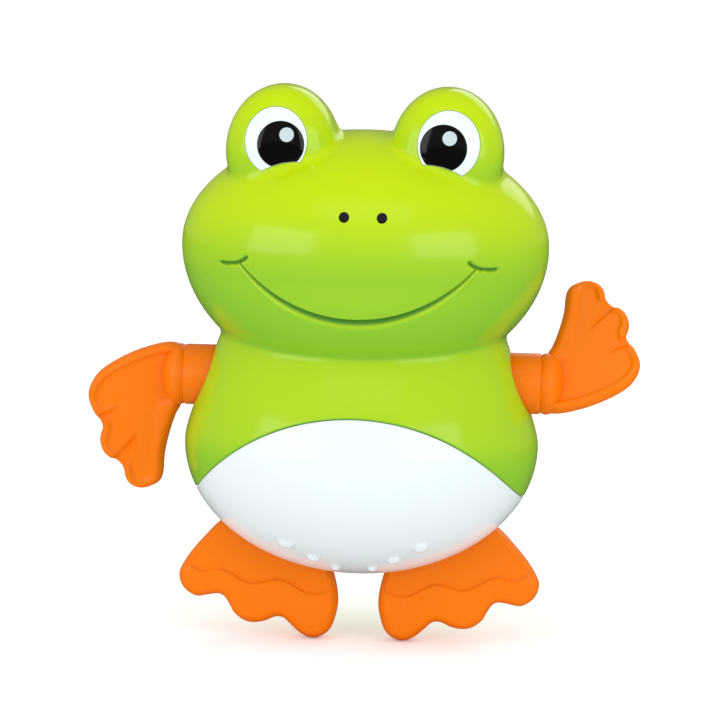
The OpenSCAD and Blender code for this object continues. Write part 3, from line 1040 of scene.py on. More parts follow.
@dataclass(frozen=True)
class Eyes:
    """White inlays with a black pupil and a pale glint, cut off below by the lid, and the nostrils."""

    skin: Skin
    centre: Pair = (20.8, 126.3)
    half: Pair = (7.5, 8.2)
    lid_centre: Pair = (15.4, 104.4)
    lid_radius: float = 17.0
    pupil_centre: Pair = (19.6, 125.5)
    pupil_r: float = 5.7
    glint_offset: Pair = (1.45, 2.4)
    glint_r: float = 1.75
    proud: float = 0.12
    crown: float = 0.55
    depth: float = 3.5
    nostril: Triple = (4.5, 109.3, 1.25)
    nostril_shift: float = 1.4
    clearance: float = 0.09
    pupil_inset: float = 0.06
    plug_y: float = -45.0
    plug_depth: float = 36.0
    spokes: int = 192

    def clear_of_lid(self, x: Array, z: Array, grow: float) -> Array:
        """Whether places lie above the lid, for the eye on the frog's left."""
        return np.hypot(x - self.lid_centre[0], z - self.lid_centre[1]) > self.lid_radius - grow

    def in_white(self, x: Array, z: Array, grow: float) -> Array:
        """Whether places lie in the white's oval and above the lid."""
        across = (x - self.centre[0]) / (self.half[0] + grow)
        up = (z - self.centre[1]) / (self.half[1] + grow)
        return (np.hypot(across, up) < 1) & self.clear_of_lid(x, z, grow)

    def in_pupil(self, x: Array, z: Array) -> Array:
        """Whether places lie in the pupil, which the lid cuts short."""
        away = np.hypot(x - self.pupil_centre[0], z - self.pupil_centre[1])
        return (away < self.pupil_r) & self.in_white(x, z, -self.pupil_inset)

    def face(self, x: Array, z: Array, lift: float) -> Array:
        """Front of the eye: the bump's skin, proud of it and domed by 1 less the square of the oval radius.

        Args:
            x: Places across, for the eye on the frog's left.
            z: Heights.
            lift: Extra height of a print or inlay on it.

        Returns:
            The y of the face.
        """
        oval2 = ((x - self.centre[0]) / self.half[0]) ** 2 + ((z - self.centre[1]) / self.half[1]) ** 2
        return self.skin.face_y(x, z) - self.proud - self.crown * np.maximum(1 - oval2, 0) - lift

    def inlay(
        self, name: str, centre: Pair, inside: Field,
        front: Field, depth: float, side: int, soften: float = 0.08,
    ) -> Piece:
        """Closed disc on a polar grid: spokes run to the outline, and the back lies behind the front.

        Args:
            name: Name of the piece.
            centre: x and z of its middle.
            inside: Whether places lie within the outline.
            front: The y of its face.
            depth: Its thickness.
            side: 1 for the frog's left, -1 for a mirror image.
            soften: Radius that its rim is rounded by.

        Returns:
            The inlay.
        """
        turn = np.arange(self.spokes) * 2 * math.pi / self.spokes
        across, up = np.cos(turn), np.sin(turn)
        ends = np.zeros(turn.shape), np.full(turn.shape, 20.0)
        reach = solve(lambda r: inside(centre[0] + r * across, centre[1] + r * up), *ends)
        share = spread(8, 0.3, [(8, 0.02)], 0.25)[:, None]
        x, z = centre[0] + share * reach * across, centre[1] + share * reach * up
        short = np.clip(soften - (1 - share) * reach, 0, soften)
        fall = soften - np.sqrt(np.maximum(soften**2 - short**2, 0))
        y = front(x, z) + fall
        back = np.stack([x, y.max() + depth + 0 * y, z], -1)
        return on_side(disc(name, np.stack([np.stack([x, y, z], -1), back])), side)

    def plug(self, side: int) -> Piece:
        """Tool that cuts the eye's hole, a hair wider than the eye.

        Args:
            side: 1 for the frog's left, -1 for its right.

        Returns:
            The tool.
        """
        return self.inlay(
            "plug", self.centre, lambda x, z: self.in_white(x, z, self.clearance),
            lambda x, z: self.plug_y + 0 * x, self.plug_depth, side, 1e-3,
        )

    def build(self) -> None:
        """Makes and dresses both eyes and the nostrils."""
        for side, word in ((-1, "right"), (1, "left")):
            node = f"eye_{word}"
            glint_x = self.pupil_centre[0] + side * self.glint_offset[0]
            glint_z = self.pupil_centre[1] + self.glint_offset[1]
            in_glint = lambda x, z: np.hypot(x - glint_x, z - glint_z) < self.glint_r
            layers = (
                ("white", self.centre, lambda x, z: self.in_white(x, z, 0), 0.0, self.depth, EYE_WHITE),
                ("pupil", self.pupil_centre, self.in_pupil, 0.06, 0.5, PUPIL_BLACK),
                ("glint", (glint_x, glint_z), in_glint, 0.1, 0.3, GLINT_GREY),
            )
            for layer, centre, inside, lift, depth, finish in layers:
                front = lambda x, z, lift=lift: self.face(x, z, lift)
                piece = self.inlay(f"eye_{layer}_{word}", centre, inside, front, depth, side)
                finish_piece(piece, Part.FIXED, [node], finish)
            x0, z0, radius = self.nostril[0] + side * self.nostril_shift, *self.nostril[1:]
            piece = self.inlay(
                f"nostril_{word}", (x0, z0), lambda x, z: np.hypot(x - x0, z - z0) < radius,
                lambda x, z: self.skin.face_y(x, z) - 0.05, 0.6, side, 0.05,
            )
            finish_piece(piece, Part.FIXED, [node], PUPIL_BLACK)


# ---- arms, flippers and knob ----


@dataclass(frozen=True)
class Blade:
    """Flat closed limb on a polar grid: an outline seen square on, and a half thickness at each place."""

    outline: Pairs
    centre: Pair
    spokes: int = 420
    coarse: float = 0.34

    def build(self, name: str, half: Callable[[Array, Array, Array], Array], middle: float) -> Piece:
        """Spokes run from the centre to the outline, and both faces stand off the middle plane.

        Args:
            name: Name of the piece.
            half: Half thickness from x, the height and the distance from the outline.
            middle: The y of the middle plane.

        Returns:
            The limb, lying in X and Z.
        """
        curve = closed_curve(self.outline)
        turn = np.arange(self.spokes) * 2 * math.pi / self.spokes
        reach = polar_outline(curve, self.centre, turn)
        share = spread(18, self.coarse, [(18, 0.03)], 0.22)[:, None]
        x, z = self.centre[0] + share * reach * np.cos(turn), self.centre[1] + share * reach * np.sin(turn)
        edge = off_curve(np.stack([x, z], -1), curve)
        edge[-1] = 0
        thick = half(x, z, edge)
        return disc(name, np.stack([np.stack([x, middle + side * thick, z], -1) for side in (-1, 1)]))


def wedge(x: Array, z: Array, apex: Pair, one: Pair, other: Pair) -> Array:
    """Distance inside the angle that opens from an apex through two points.

    Args:
        x: Places across.
        z: Their heights.
        apex: Where the angle starts.
        one: A point on the side that lies clockwise.
        other: A point on the other side.

    Returns:
        The distance to the nearer side, negative outside the angle.
    """
    depth = []
    for point, sign in ((one, 1), (other, -1)):
        along = np.array(point) - np.array(apex)
        along = along / np.linalg.norm(along)
        depth.append(sign * (along[0] * (z - apex[1]) - along[1] * (x - apex[0])))
    return np.minimum(*depth)


def edge_round(away: Array, radius: float) -> Array:
    """Share of full thickness near an edge: a quarter circle that rises over a radius."""
    return np.sqrt(1 - (1 - np.clip(away / radius, 0, 1)) ** 2)


@dataclass(frozen=True)
class Arm:
    """Turning arm: a round sleeve with a domed end, and a webbed hand with a raised rim."""

    mould: Mould
    outline: Pairs = (
        (44.6, -6.2), (48.4, -7.6), (55.2, -6.0), (61.3, -3.3), (66.0, -0.2), (68.3, 2.9), (69.0, 5.6),
        (68.5, 7.9), (67.3, 10.3), (66.0, 11.9), (65.4, 13.5), (65.9, 15.0), (66.1, 16.9), (65.3, 19.3),
        (63.7, 20.8), (61.9, 21.5), (60.3, 23.2), (59.7, 25.5), (58.5, 27.2), (56.2, 28.1), (53.8, 27.8),
        (51.2, 26.5), (50.1, 24.3), (49.7, 19.6), (48.6, 14.8), (47.1, 10.3), (45.5, 7.2), (44.2, 3.0),
        (43.6, -2.0),
    )
    centre: Pair = (54.0, 5.0)
    sleeve_r: float = 7.58
    dome_r: float = 7.63
    dome_x: float = 45.9
    dome_half: float = 4.4
    inner_x: float = 33.6
    rim_half: float = 2.75
    rim_w: float = 1.45
    palm_drop: float = 0.8
    web_half: float = 1.3
    webs: tuple[tuple[Pair, Pair, Pair], ...] = (
        ((60.9, 7.9), (67.4, 10.2), (65.4, 14.0)), ((56.4, 14.0), (63.4, 20.8), (59.5, 24.9)),
    )
    right_turn: float = 6.0
    left_turn: float = 28.0
    right_stretch: float = 1.06
    left_stretch: float = 0.985
    bore_r: float = 1.5
    bore_end: float = 42.7
    flat_y: float = 1.15

    def half(self, x: Array, z: Array, edge: Array) -> Array:
        """Half thickness of the hand: a rounded rim, a sunk palm, and thin webs between the fingers.

        Args:
            x: Places along the axle.
            z: Places towards the fingertips.
            edge: Distance from the outline.

        Returns:
            The half thickness.
        """
        inner = smooth(54.5, 49.5, x) * smooth(4, 9, z)
        rim = self.rim_half * edge_round(edge, self.rim_w * (1 + 0.5 * inner))
        slope = smooth(0, 1, (edge - self.rim_w * 0.95) / (1.3 + 5.2 * inner))
        sunk = self.palm_drop * (1 - 0.45 * inner) * slope
        ridge = 0.3 * np.exp(-(((x - 55.5) * 0.5 + (z - 14) * 0.2) ** 2) / 6.0)
        palm = rim - sunk * (1 - ridge)
        webs = np.maximum(*(wedge(x, z, *corners) for corners in self.webs))
        web = self.web_half * edge_round(edge, 0.9)
        share = smooth(0.0, 1.1, webs)
        lip = 0.13 * np.exp(-((webs / 0.4) ** 2)) * (webs < 0)
        lip = lip * smooth(0.3, 1.5, edge) * smooth(58, 60, x + 0.2 * z)
        return palm + lip + share * np.minimum(web - palm - lip, 0)

    def make(self, stretch: float) -> Piece:
        """Joins the hand to its sleeve, fingers up.

        Args:
            stretch: How much longer than its outline the hand is.

        Returns:
            The arm at the height of the axle.
        """
        arm = Blade(self.outline, self.centre).build("arm", self.half, 0.0)
        arm.data.transform(Matrix.Diagonal((1, 1, stretch, 1)))
        fore = np.linspace(-0.33, 1, 50)
        dome = np.stack([self.dome_r * np.sqrt(1 - fore**2), self.dome_x + self.dome_half * fore], -1)
        bevel = 0.3
        start = np.array([
            [0, self.inner_x], [self.sleeve_r - bevel, self.inner_x], [self.sleeve_r, self.inner_x + bevel],
        ])
        waist = self.dome_x - 0.33 * self.dome_half
        neck = np.array([[self.sleeve_r, waist - 0.35], [self.sleeve_r - 0.1, waist - 0.12]])
        profile = np.concatenate([start, neck, dome])
        sleeve = lathe("sleeve", "x", (0, 0), profile, 192)
        combine(arm, "UNION", sleeve)
        return arm

    def place(self, side: int) -> Piece:
        """Turns an arm about the axle, sets it on its side and bores it for the axle's flats.

        Args:
            side: 1 for the frog's left, -1 for its right.

        Returns:
            The arm.
        """
        arm = self.make(self.left_stretch if side > 0 else self.right_stretch)
        turn = -self.left_turn if side > 0 else 180 + self.right_turn
        axle_z = self.mould.axle_z
        place = Matrix.Translation((0, 0, axle_z * MM))
        arm.data.transform(place @ Matrix.Rotation(math.radians(turn), 4, "X"))
        on_side(arm, side)
        low, high = sorted((side * (self.inner_x - 1), side * self.bore_end))
        hole = rod("x", (0, axle_z), self.bore_r, low, high, 48)
        flats = block((low - 1, -self.flat_y, axle_z - 3), (high + 1, self.flat_y, axle_z + 3))
        combine(hole, "INTERSECT", flats)
        combine(arm, "DIFFERENCE", hole)
        return named(arm, "arm_right_moulding" if side < 0 else "arm_left_moulding", 32)


def block(low: Triple, high: Triple) -> Piece:
    """Closed box between two corners.

    Args:
        low: Its lowest corner.
        high: Its highest corner.

    Returns:
        The box.
    """
    x, y, z = zip(low, high)
    points = np.array([(across, deep, up) for up in z for deep in y for across in x])
    faces = np.array([[0, 2, 3, 1], [4, 5, 7, 6], [0, 1, 5, 4], [2, 6, 7, 3], [0, 4, 6, 2], [1, 3, 7, 5]])
    return make_piece("block", points, [faces])


@dataclass(frozen=True)
class Leg:
    """Flipper: three thick toes below a wavy step, and a thinner web with a raised edge above it."""

    outline: Pairs = (
        (34.9, 29.5), (38.7, 25.7), (42.5, 21.2), (45.1, 16.9), (45.4, 14.6), (44.6, 12.4), (42.9, 10.7),
        (40.7, 9.8), (38.1, 10.2), (35.5, 10.6), (33.9, 9.9), (32.6, 8.0), (31.4, 5.9), (29.1, 4.1),
        (26.6, 3.5), (23.7, 3.9), (20.8, 5.1), (18.8, 4.9), (17.0, 3.3), (14.4, 1.1), (11.8, 0.1),
        (9.3, 0.5), (7.0, 2.3), (5.8, 5.2), (5.1, 8.7), (5.2, 11.8), (5.7, 14.5), (6.5, 17.5), (8.3, 23.4),
        (13.5, 30.5), (20.5, 34.5), (28.5, 33.6),
    )
    centre: Pair = (22.0, 18.0)
    leg_y: float = 1.2
    toe_half: float = 4.1
    web_half: float = 3.62
    band_half: float = 3.9
    peg: Triple = (19.5, 29.5, 2.2)
    slot_grow: float = 1.012

    def wave(self, x: Array) -> Array:
        """Height of the step: a sloping line with a cosine ripple that hooks up at the outer edge."""
        return 11.2 + 0.145 * x + 1.1 * np.cos(np.radians(24 * (x - 19.5))) + 2.4 * smooth(38.5, 43.5, x)

    def half(self, x: Array, z: Array, edge: Array) -> Array:
        """Half thickness: rounded toes, and above the wave a thinner web inside a raised band.

        Args:
            x: Places across.
            z: Heights.
            edge: Distance from the outline.

        Returns:
            The half thickness.
        """
        above = z - self.wave(x)
        toes = self.toe_half * edge_round(edge, 2.3) + 0.1 * smooth(1, 7, edge)
        inside = smooth(1.15, 1.75, edge)
        band = self.band_half * edge_round(edge, 1.1) - (self.band_half - self.web_half) * inside
        step = smooth(-0.22, 0.16, above)
        groove = 0.1 * np.exp(-(((above - 0.3) / 0.26) ** 2)) * smooth(0.2, 1.2, edge)
        return toes + step * (np.minimum(band, toes) - toes) - groove

    def build(self, side: int) -> Piece:
        """Makes one flipper.

        Args:
            side: 1 for the frog's left, -1 for its right.

        Returns:
            The flipper.
        """
        leg = Blade(self.outline, self.centre).build("leg", self.half, self.leg_y)
        combine(leg, "DIFFERENCE", rod("y", self.peg[:2], self.peg[2], -20, 20, 48))
        return named(on_side(leg, side), "leg_right_moulding" if side < 0 else "leg_left_moulding", 38)

    def slot_tool(self, side: int) -> Piece:
        """Tool that cuts the flipper's slot in the shells, a hair thicker than the flipper.

        Args:
            side: 1 for the frog's left, -1 for its right.

        Returns:
            The tool.
        """
        thick = self.toe_half + 0.15
        centre = np.array(self.centre)
        outline = centre + self.slot_grow * (np.array(self.outline) - centre)
        tool = Blade(outline, self.centre, 160, 3.0)
        return on_side(tool.build("slot", lambda x, z, edge: thick + 0 * x, self.leg_y), side)


@dataclass(frozen=True)
class Knob:
    """Fluted winding knob behind the back shell, with a recess for its screw."""

    mould: Mould
    radius: float = 8.5
    start_y: float = 33.6
    end_y: float = 38.5
    flutes: int = 12
    flute_depth: float = 0.6
    sides: int = 288

    def build(self) -> Piece:
        """Carries a rounded profile round the arbor, with a raised cosine cubed for each flute.

        Returns:
            The knob.
        """
        quarter = np.linspace(0, math.pi / 2, 9)
        rise, fall = np.sin(quarter), np.cos(quarter)
        low = np.stack([self.radius - 0.5 + 0.5 * rise, self.start_y + 0.5 - 0.5 * fall], -1)
        top = np.stack([self.radius - 1.1 + 1.1 * fall, self.end_y - 1.1 + 1.1 * rise], -1)
        neck = np.array([[0, -2.4], [3.4, -2.4], [3.4, 0]]) + [0, self.start_y]
        dish = np.array([[5.0, -0.25], [2.6, -0.35], [2.6, -1.6], [0, -1.6]]) + [0, self.end_y]
        profile = np.concatenate([neck, low, top, dish])
        turn = np.arange(self.sides) * 2 * math.pi / self.sides
        share = smooth(5.5, 7.6, profile[:, :1])
        flute = share * self.flute_depth * (0.5 + 0.5 * np.cos(self.flutes * turn)) ** 3
        knob = lathe("winding_knob_moulding", "y", (0, self.mould.arbor_z), profile, self.sides, flute)
        combine(knob, "DIFFERENCE", rod("y", (0, self.mould.arbor_z), 1.6, 20, 36.95, 48))
        shade(knob, 38)
        return knob


# ---- finishes ----


class Graph:
    """Adds and joins nodes in one node tree."""

    def __init__(self, tree: Tree) -> None:
        """Keeps the tree that nodes are added to."""
        self.tree = tree

    def add(
        self, kind: str, inputs: dict[str | int, object] | None = None, **settings: object
    ) -> bpy.types.Node:
        """Adds a node.

        Args:
            kind: Its type, without the ShaderNode in front.
            inputs: A value or an output socket for each named or numbered input.
            settings: Its own settings.

        Returns:
            The node.
        """
        node = self.tree.nodes.new(kind if kind.startswith("Node") else "ShaderNode" + kind)
        for name, value in settings.items():
            setattr(node, name, value)
        for name, value in (inputs or {}).items():
            if isinstance(value, bpy.types.NodeSocket):
                self.tree.links.new(value, node.inputs[name])
            else:
                node.inputs[name].default_value = value
        return node

    def math(self, operation: str, a: object, b: object = 0.0) -> Socket:
        """Result of a Math node on two values or sockets."""
        return self.add("Math", {0: a, 1: b}, operation=operation).outputs[0]

    def step(
        self, value: object, low: float, high: float, start: float = 0.0, end: float = 1.0,
        kind: str = "LINEAR",
    ) -> Socket:
        """Result of a Map Range node that takes low to start and high to end."""
        mapped = self.add("MapRange", {0: value, 1: low, 2: high, 3: start, 4: end}, interpolation_type=kind)
        return mapped.outputs[0]

    def mix(self, share: object, a: object, b: object) -> Socket:
        """Colour between two colours or sockets."""
        return self.add("Mix", {0: share, 6: a, 7: b}, data_type="RGBA").outputs[2]


def effect_group(name: str, inputs: dict[str, float], masks: Sequence[str]) -> tuple[Tree, Graph]:
    """Starts a node group with number inputs, mask outputs and, last, a normal.

    Args:
        name: Name of the group.
        inputs: Each input and the value it starts with.
        masks: Names of the masks that it puts out.

    Returns:
        The group, and a graph to fill it with.
    """
    group = bpy.data.node_groups.new(name, "ShaderNodeTree")
    for title, value in inputs.items():
        group.interface.new_socket(title, in_out="INPUT", socket_type="NodeSocketFloat").default_value = value
    for title in masks:
        group.interface.new_socket(title, in_out="OUTPUT", socket_type="NodeSocketFloat")
    group.interface.new_socket("Normal", in_out="OUTPUT", socket_type="NodeSocketVector")
    return group, Graph(group)


def moulding_group() -> Tree:
    """Moulded surface: slow flow marks, fine orange peel, rare handling scratches, and a painted-shade mask
    that grows on surfaces that face down or lie low.

    Returns:
        The group, with a flow mask, a scratch mask, a painted-shade mask for undersides and a normal.
    """
    name = "moulded_surface"
    if name in bpy.data.node_groups:
        return bpy.data.node_groups[name]
    values = {"Flow": 22.0, "Peel": 650.0, "Peel depth": 1.0, "Scratches": 1.0}
    group, graph = effect_group(name, values, ("Flow", "Scratch", "Underside"))
    given = graph.add("NodeGroupInput").outputs
    coordinates = graph.add("TexCoord").outputs
    place = coordinates["Object"]
    lean = graph.add("SeparateXYZ", {0: coordinates["Normal"]}).outputs["Z"]
    height = graph.add("SeparateXYZ", {0: place}).outputs["Z"]
    # painted shade: surfaces that face down, and those near the bottom, get a mask that darkens them as shade
    # would
    down = graph.step(lean, 0.75, -0.75, kind="SMOOTHSTEP")
    low = graph.step(height, 0.125, 0.07, end=0.32, kind="SMOOTHSTEP")
    underside_shade = graph.math("MINIMUM", graph.math("ADD", down, low), 1.0)
    flow = graph.add("TexNoise", {"Vector": place, "Scale": given["Flow"], "Detail": 3.0, "Distortion": 0.6})
    peel = graph.add("TexNoise", {"Vector": place, "Scale": given["Peel"], "Detail": 1.0})
    marks = []
    for turn, stretch in (((0.3, 0.5, 0.2), (900, 30, 60)), ((1.2, -0.4, 0.9), (50, 1100, 24))):
        slant = graph.add("Mapping", {"Vector": place, "Rotation": turn, "Scale": stretch})
        lines = graph.add("TexNoise", {"Vector": slant.outputs[0], "Scale": 1.0, "Detail": 1.0})
        marks.append(graph.step(lines.outputs[0], 0.70, 0.76))
    handled = graph.add("TexNoise", {"Vector": place, "Scale": 34.0, "Detail": 2.0})
    worn = graph.math("MULTIPLY", graph.math("MAXIMUM", *marks), graph.step(handled.outputs[0], 0.5, 0.7))
    scratch = graph.math("MULTIPLY", worn, given["Scratches"])
    height = graph.math("SUBTRACT", graph.math("MULTIPLY", peel.outputs[0], given["Peel depth"]), scratch)
    bump = graph.add("Bump", {"Strength": 0.5, "Distance": 0.00003, "Height": height})
    graph.add("NodeGroupOutput", {0: flow.outputs[0], 1: scratch, 2: underside_shade, 3: bump.outputs[0]})
    return group


def machining_group() -> Tree:
    """Machined metal: grain drawn out along one direction, over a slow tarnish.

    Returns:
        The group, with a grain mask, a tarnish mask and a normal.
    """
    name = "machined_surface"
    if name in bpy.data.node_groups:
        return bpy.data.node_groups[name]
    values = {"Across": 2200.0, "Along": 90.0, "Tarnish": 60.0}
    group, graph = effect_group(name, values, ("Grain", "Tarnish"))
    given = graph.add("NodeGroupInput").outputs
    place = graph.add("TexCoord").outputs["Object"]
    scale = graph.add("CombineXYZ", {0: given["Across"], 1: given["Along"], 2: given["Across"]})
    drawn = graph.add("VectorMath", {0: place, 1: scale.outputs[0]}, operation="MULTIPLY")
    grain = graph.add("TexNoise", {"Vector": drawn.outputs[0], "Scale": 1.0, "Detail": 2.0})
    cloud = {"Vector": place, "Scale": given["Tarnish"], "Detail": 4.0, "Roughness": 0.6}
    tarnish = graph.add("TexNoise", cloud)
    bump = graph.add("Bump", {"Strength": 0.3, "Distance": 0.00002, "Height": grain.outputs[0]})
    graph.add("NodeGroupOutput", {0: grain.outputs[0], 1: tarnish.outputs[0], 2: bump.outputs[0]})
    return group


@dataclass(frozen=True)
class Finish:
    """A surface: its name, its colour and a second colour that it drifts towards."""

    name: str
    colour: Triple
    drift: Triple
    roughness: float

    def material(self) -> bpy.types.Material:
        """Gives this finish's material, made the first time that it is wanted."""
        known = bpy.data.materials.get(self.name)
        if known:
            return known
        made = bpy.data.materials.new(self.name)
        made.use_nodes = True
        made.node_tree.nodes.clear()
        made.diffuse_color = (*self.colour, 1)
        graph = Graph(made.node_tree)
        shader = graph.add("BsdfPrincipled")
        self.dress(graph, shader)
        graph.add("OutputMaterial", {"Surface": shader.outputs[0]})
        return made

    def dress(self, graph: Graph, shader: bpy.types.Node) -> None:
        """Feeds the shader. Each kind of finish has its own."""
        raise NotImplementedError


@dataclass(frozen=True)
class Plastic(Finish):
    """Moulded plastic: colour that drifts with the flow, peel and scratches in the gloss, and where set,
    painted shade on undersides and in the mouth groove.
    """

    peel: float = 1.0
    scratches: float = 0.6
    glow: float = 0.0
    glow_radius: Triple = (1.0, 1.0, 0.4)
    specular: float = 0.34
    # painted shade colours: a darker green for undersides, and a dark green for the mouth groove
    underside_shade: Triple | None = None
    groove_shade: Triple | None = None

    def dress(self, graph: Graph, shader: bpy.types.Node) -> None:
        """Mixes the two colours by flow, mixes in painted shade on undersides and in the groove where set,
        roughens the scratches, and lets a little light sink in.

        Args:
            graph: The material's graph.
            shader: Its Principled shader.
        """
        surface = graph.add("Group", node_tree=moulding_group())
        surface.inputs["Peel depth"].default_value = self.peel
        surface.inputs["Scratches"].default_value = self.scratches
        share = graph.step(surface.outputs["Flow"], 0.3, 0.7)
        colour = graph.mix(share, (*self.colour, 1), (*self.drift, 1))
        # painted shade: downward-facing and low surfaces are mixed towards a darker green
        if self.underside_shade:
            colour = graph.mix(surface.outputs["Underside"], colour, (*self.underside_shade, 1))
        # painted shade: the mouth groove is mixed towards a dark green, standing in for the shade inside it
        if self.groove_shade:
            groove = graph.add("Attribute", attribute_name="groove").outputs["Fac"]
            colour = graph.mix(groove, colour, (*self.groove_shade, 1))
        graph.tree.links.new(colour, shader.inputs["Base Color"])
        rough = graph.math("ADD", graph.math("MULTIPLY", share, 0.05), self.roughness - 0.025)
        rough = graph.math("ADD", rough, graph.math("MULTIPLY", surface.outputs["Scratch"], 0.25))
        graph.tree.links.new(rough, shader.inputs["Roughness"])
        graph.tree.links.new(surface.outputs["Normal"], shader.inputs["Normal"])
        shader.inputs["Specular IOR Level"].default_value = self.specular
        shader.inputs["Coat Roughness"].default_value = 0.06
        shader.inputs["Subsurface Weight"].default_value = self.glow
        shader.inputs["Subsurface Radius"].default_value = self.glow_radius
        shader.inputs["Subsurface Scale"].default_value = 0.002


@dataclass(frozen=True)
class Metal(Finish):
    """Machined metal: drawn grain in the gloss and a slow tarnish in the colour."""

    across: float = 2200.0
    along: float = 90.0

    def dress(self, graph: Graph, shader: bpy.types.Node) -> None:
        """Mixes the two colours by tarnish and the roughness by grain.

        Args:
            graph: The material's graph.
            shader: Its Principled shader.
        """
        grain = {"Across": self.across, "Along": self.along}
        surface = graph.add("Group", grain, node_tree=machining_group())
        share = graph.step(surface.outputs["Tarnish"], 0.45, 0.7)
        colour = graph.mix(share, (*self.colour, 1), (*self.drift, 1))
        graph.tree.links.new(colour, shader.inputs["Base Color"])
        rough = graph.step(surface.outputs["Grain"], 0.3, 0.7, self.roughness - 0.08, self.roughness + 0.1)
        graph.tree.links.new(rough, shader.inputs["Roughness"])
        graph.tree.links.new(surface.outputs["Normal"], shader.inputs["Normal"])
        shader.inputs["Metallic"].default_value = 1.0


# LIME's underside and groove colours are painted shade: darker greens for undersides and the mouth groove
LIME = Plastic(
    "lime_green_plastic", (0.55, 0.745, 0.0), (0.53, 0.735, 0.0), 0.16, specular=0.4,
    underside_shade=(0.26, 0.55, 0.03), groove_shade=(0.075, 0.27, 0.03),
)
BELLY_WHITE = Plastic(
    "belly_white_plastic", (0.81, 0.89, 0.91), (0.795, 0.88, 0.9), 0.17, glow=0.04, glow_radius=(1, 1, 1),
)
ORANGE = Plastic(
    "orange_plastic", (0.97, 0.205, 0.0), (0.95, 0.188, 0.0), 0.27, specular=0.22,
    glow=0.03, glow_radius=(1, 0.5, 0.1),
)
EYE_WHITE = Plastic("eye_white_plastic", (0.80, 0.89, 0.92), (0.79, 0.88, 0.91), 0.1, 0.4, 0.2)
PUPIL_BLACK = Plastic("pupil_black_print", (0.002, 0.002, 0.002), (0.003, 0.003, 0.0035), 0.09, 0.3, 0.2)
GLINT_GREY = Plastic("glint_grey_print", (0.56, 0.68, 0.71), (0.54, 0.66, 0.70), 0.15, 0.3, 0.1)
ACETAL = Plastic("natural_acetal", (0.80, 0.78, 0.70), (0.76, 0.73, 0.64), 0.38, 1.4, 0.8, 0.1, (1, 0.9, 0.7))
CASE_GREY = Plastic("case_grey_plastic", (0.60, 0.62, 0.65), (0.56, 0.58, 0.62), 0.42, 2.0, 1.0)
STEEL = Metal("bright_steel", (0.66, 0.67, 0.69), (0.52, 0.52, 0.53), 0.26)
SPRING_STEEL = Metal("blued_spring_steel", (0.20, 0.24, 0.33), (0.16, 0.15, 0.16), 0.32, 300.0, 2600.0)
BRASS = Metal("turned_brass", (0.78, 0.55, 0.22), (0.58, 0.38, 0.14), 0.25)
RUBBER = Plastic(
    "soft_black_rubber", (0.022, 0.022, 0.022), (0.035, 0.034, 0.033), 0.62, 2.5, 1.0, specular=0.3
)

CAD_FINISHES = {
    Slot.GREEN: LIME, Slot.WHITE: BELLY_WHITE, Slot.ORANGE: ORANGE, Slot.EYE: EYE_WHITE, Slot.GEAR: ACETAL,
    Slot.CASE: CASE_GREY, Slot.STEEL: STEEL, Slot.SPRING: SPRING_STEEL, Slot.BRASS: BRASS,
    Slot.RUBBER: RUBBER,
}


def dress_cad_nodes() -> None:
    """Gives every CAD node that still shows the finish of its slot."""
    slots = {part["node"]: part["material_slot"] for part in frame["record"]["subparts"]}
    for name, node in frame["nodes"].items():
        if node.hide_render:
            continue
        material = CAD_FINISHES[Slot(slots[name])].material()
        if not node.material_slots:
            node.data.materials.append(material)
        for place in node.material_slots:
            place.material = material
        log.info("%s: %s", name, material.name)


# ---- studio ----


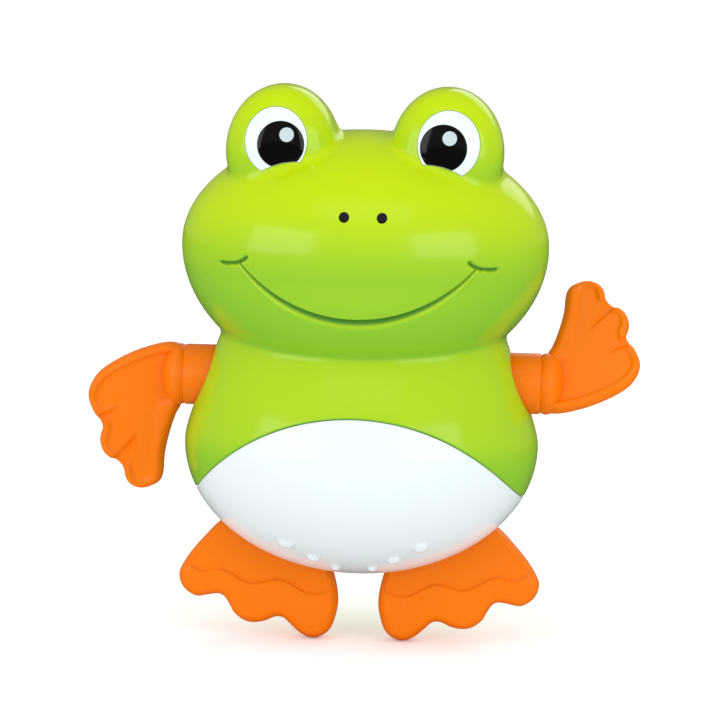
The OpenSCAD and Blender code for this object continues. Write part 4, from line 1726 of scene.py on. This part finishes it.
@dataclass(frozen=True)
class Studio:
    """Camera, pale floor and soft boxes."""

    target: Triple = (-0.00076, 0.0, 0.0711)
    azimuth: float = 3.5
    elevation: float = 7.0
    roll: float = 1.2
    distance: float = 0.75
    lens: float = 150.2
    sky: float = 0.87
    gloss_sky: float = 0.2
    seen_sky: float = 1.1

    def camera(self) -> None:
        """Stands the camera off the target along its azimuth and elevation, rolled about its own axis."""
        turn, lift, roll = (math.radians(a) for a in (self.azimuth, self.elevation, self.roll))
        back = Vector((math.sin(turn) * math.cos(lift), -math.cos(turn) * math.cos(lift), math.sin(lift)))
        right = Vector((math.cos(turn), math.sin(turn), 0))
        up = back.cross(right)
        across = math.cos(roll) * right + math.sin(roll) * up
        axes = Matrix((across, back.cross(across), back)).transposed()
        data = bpy.data.cameras.new("camera")
        data.lens = self.lens
        camera = show("camera", data)
        camera.matrix_world = Matrix.Translation(Vector(self.target) + self.distance * back) @ axes.to_4x4()
        bpy.context.scene.camera = camera

    def soft_box(self, name: str, place: Triple, size: Pair, radiance: float) -> None:
        """Hangs a rectangular light that faces the frog.

        Args:
            name: Name of the light.
            place: Where it hangs, in metres.
            size: Its width and height.
            radiance: Brightness of its face beside a lit white card's.
        """
        data = bpy.data.lights.new(name, "AREA")
        data.shape = "RECTANGLE"
        data.size, data.size_y = size
        data.energy = radiance * math.pi * size[0] * size[1]
        light = show(name, data)
        light.location = place
        light.rotation_euler = (Vector((0, 0, 0.08)) - Vector(place)).to_track_quat("-Z", "Y").to_euler()

    def floor(self) -> None:
        """Lays a wide pale card that looks white, and that glossy surfaces see dimmed."""
        reach = 9000.0
        points = np.array([[-reach, -reach, 0], [reach, -reach, 0], [-reach, reach, 0], [reach, reach, 0]])
        floor = make_piece("floor", points, [np.array([[0, 1, 3, 2]])])
        card = bpy.data.materials.new("floor_card")
        card.use_nodes = True
        graph = Graph(card.node_tree)
        shader = card.node_tree.nodes["Principled BSDF"]
        rays = graph.add("LightPath").outputs
        seen = rays["Is Camera Ray"]
        paper = graph.add("TexNoise", {"Vector": graph.add("TexCoord").outputs["Object"], "Scale": 40.0})
        pale = graph.mix(paper.outputs[0], (0.97, 0.97, 0.97, 1), (0.98, 0.98, 0.98, 1))
        glossy = rays["Is Glossy Ray"]
        bounce = graph.mix(glossy, (0.93, 0.93, 0.93, 1), (0.06, 0.06, 0.06, 1))
        graph.tree.links.new(graph.mix(seen, bounce, pale), shader.inputs["Base Color"])
        glow = graph.mix(seen, (0, 0, 0, 1), (0.2, 0.2, 0.2, 1))
        graph.tree.links.new(glow, shader.inputs["Emission Color"])
        shader.inputs["Emission Strength"].default_value = 1.0
        shader.inputs["Roughness"].default_value = 0.9
        shader.inputs["Specular IOR Level"].default_value = 0.0
        floor.data.materials.append(card)

    def sky_dome(self) -> None:
        """Surrounds everything with white that glossy surfaces see dimmed, as a studio's dark walls."""
        world = bpy.data.worlds.new("studio")
        world.use_nodes = True
        graph = Graph(world.node_tree)
        rays = graph.add("LightPath").outputs
        level = self.sky
        for ray, strength in (("Is Glossy Ray", self.gloss_sky), ("Is Camera Ray", self.seen_sky)):
            level = graph.math("ADD", level, graph.math("MULTIPLY", rays[ray], strength - self.sky))
        sky = world.node_tree.nodes["Background"]
        sky.inputs["Color"].default_value = (1, 1, 1, 1)
        graph.tree.links.new(level, sky.inputs["Strength"])
        bpy.context.scene.world = world

    def build(self) -> None:
        """Sets up the studio."""
        self.camera()
        self.floor()
        self.sky_dome()
        self.soft_box("left_box", (-0.8, -0.8, 0.32), (0.8, 0.6), 1.75)
        self.soft_box("right_box", (0.8, -0.8, 0.32), (0.8, 0.6), 1.75)
        self.soft_box("back_box", (0.45, 1.1, 0.7), (0.9, 0.6), 1.1)
        self.soft_box("top_box", (0.0, -0.7, 1.0), (0.9, 0.5), 0.45)
        bpy.context.scene.view_settings.view_transform = "Standard"


def main() -> None:
    """Builds the studio and the frog, piece by piece."""
    logging.basicConfig(level=logging.INFO, format="%(name)s: %(message)s")
    Studio().build()
    mould = Mould()
    eyes = Eyes(mould.skin)
    leg = Leg()
    arm = Arm(mould)
    finish_piece(FrontShell(mould, eyes).build(), Part.FIXED, ["front_shell"], LIME)
    finish_piece(BackShell(mould, leg).build(), Part.FIXED, ["back_shell"], LIME)
    finish_piece(BellyPanel(mould, leg).build(), Part.FIXED, ["belly_panel"], BELLY_WHITE)
    eyes.build()
    for side, word in ((-1, "right"), (1, "left")):
        finish_piece(arm.place(side), Part.ARMS, [f"arm_{word}"], ORANGE)
        finish_piece(leg.build(side), Part.FIXED, [f"leg_{word}"], ORANGE)
    finish_piece(Knob(mould).build(), Part.WINDER, ["winding_knob"], ORANGE)
    dress_cad_nodes()


if __name__ == "__main__":
    main()
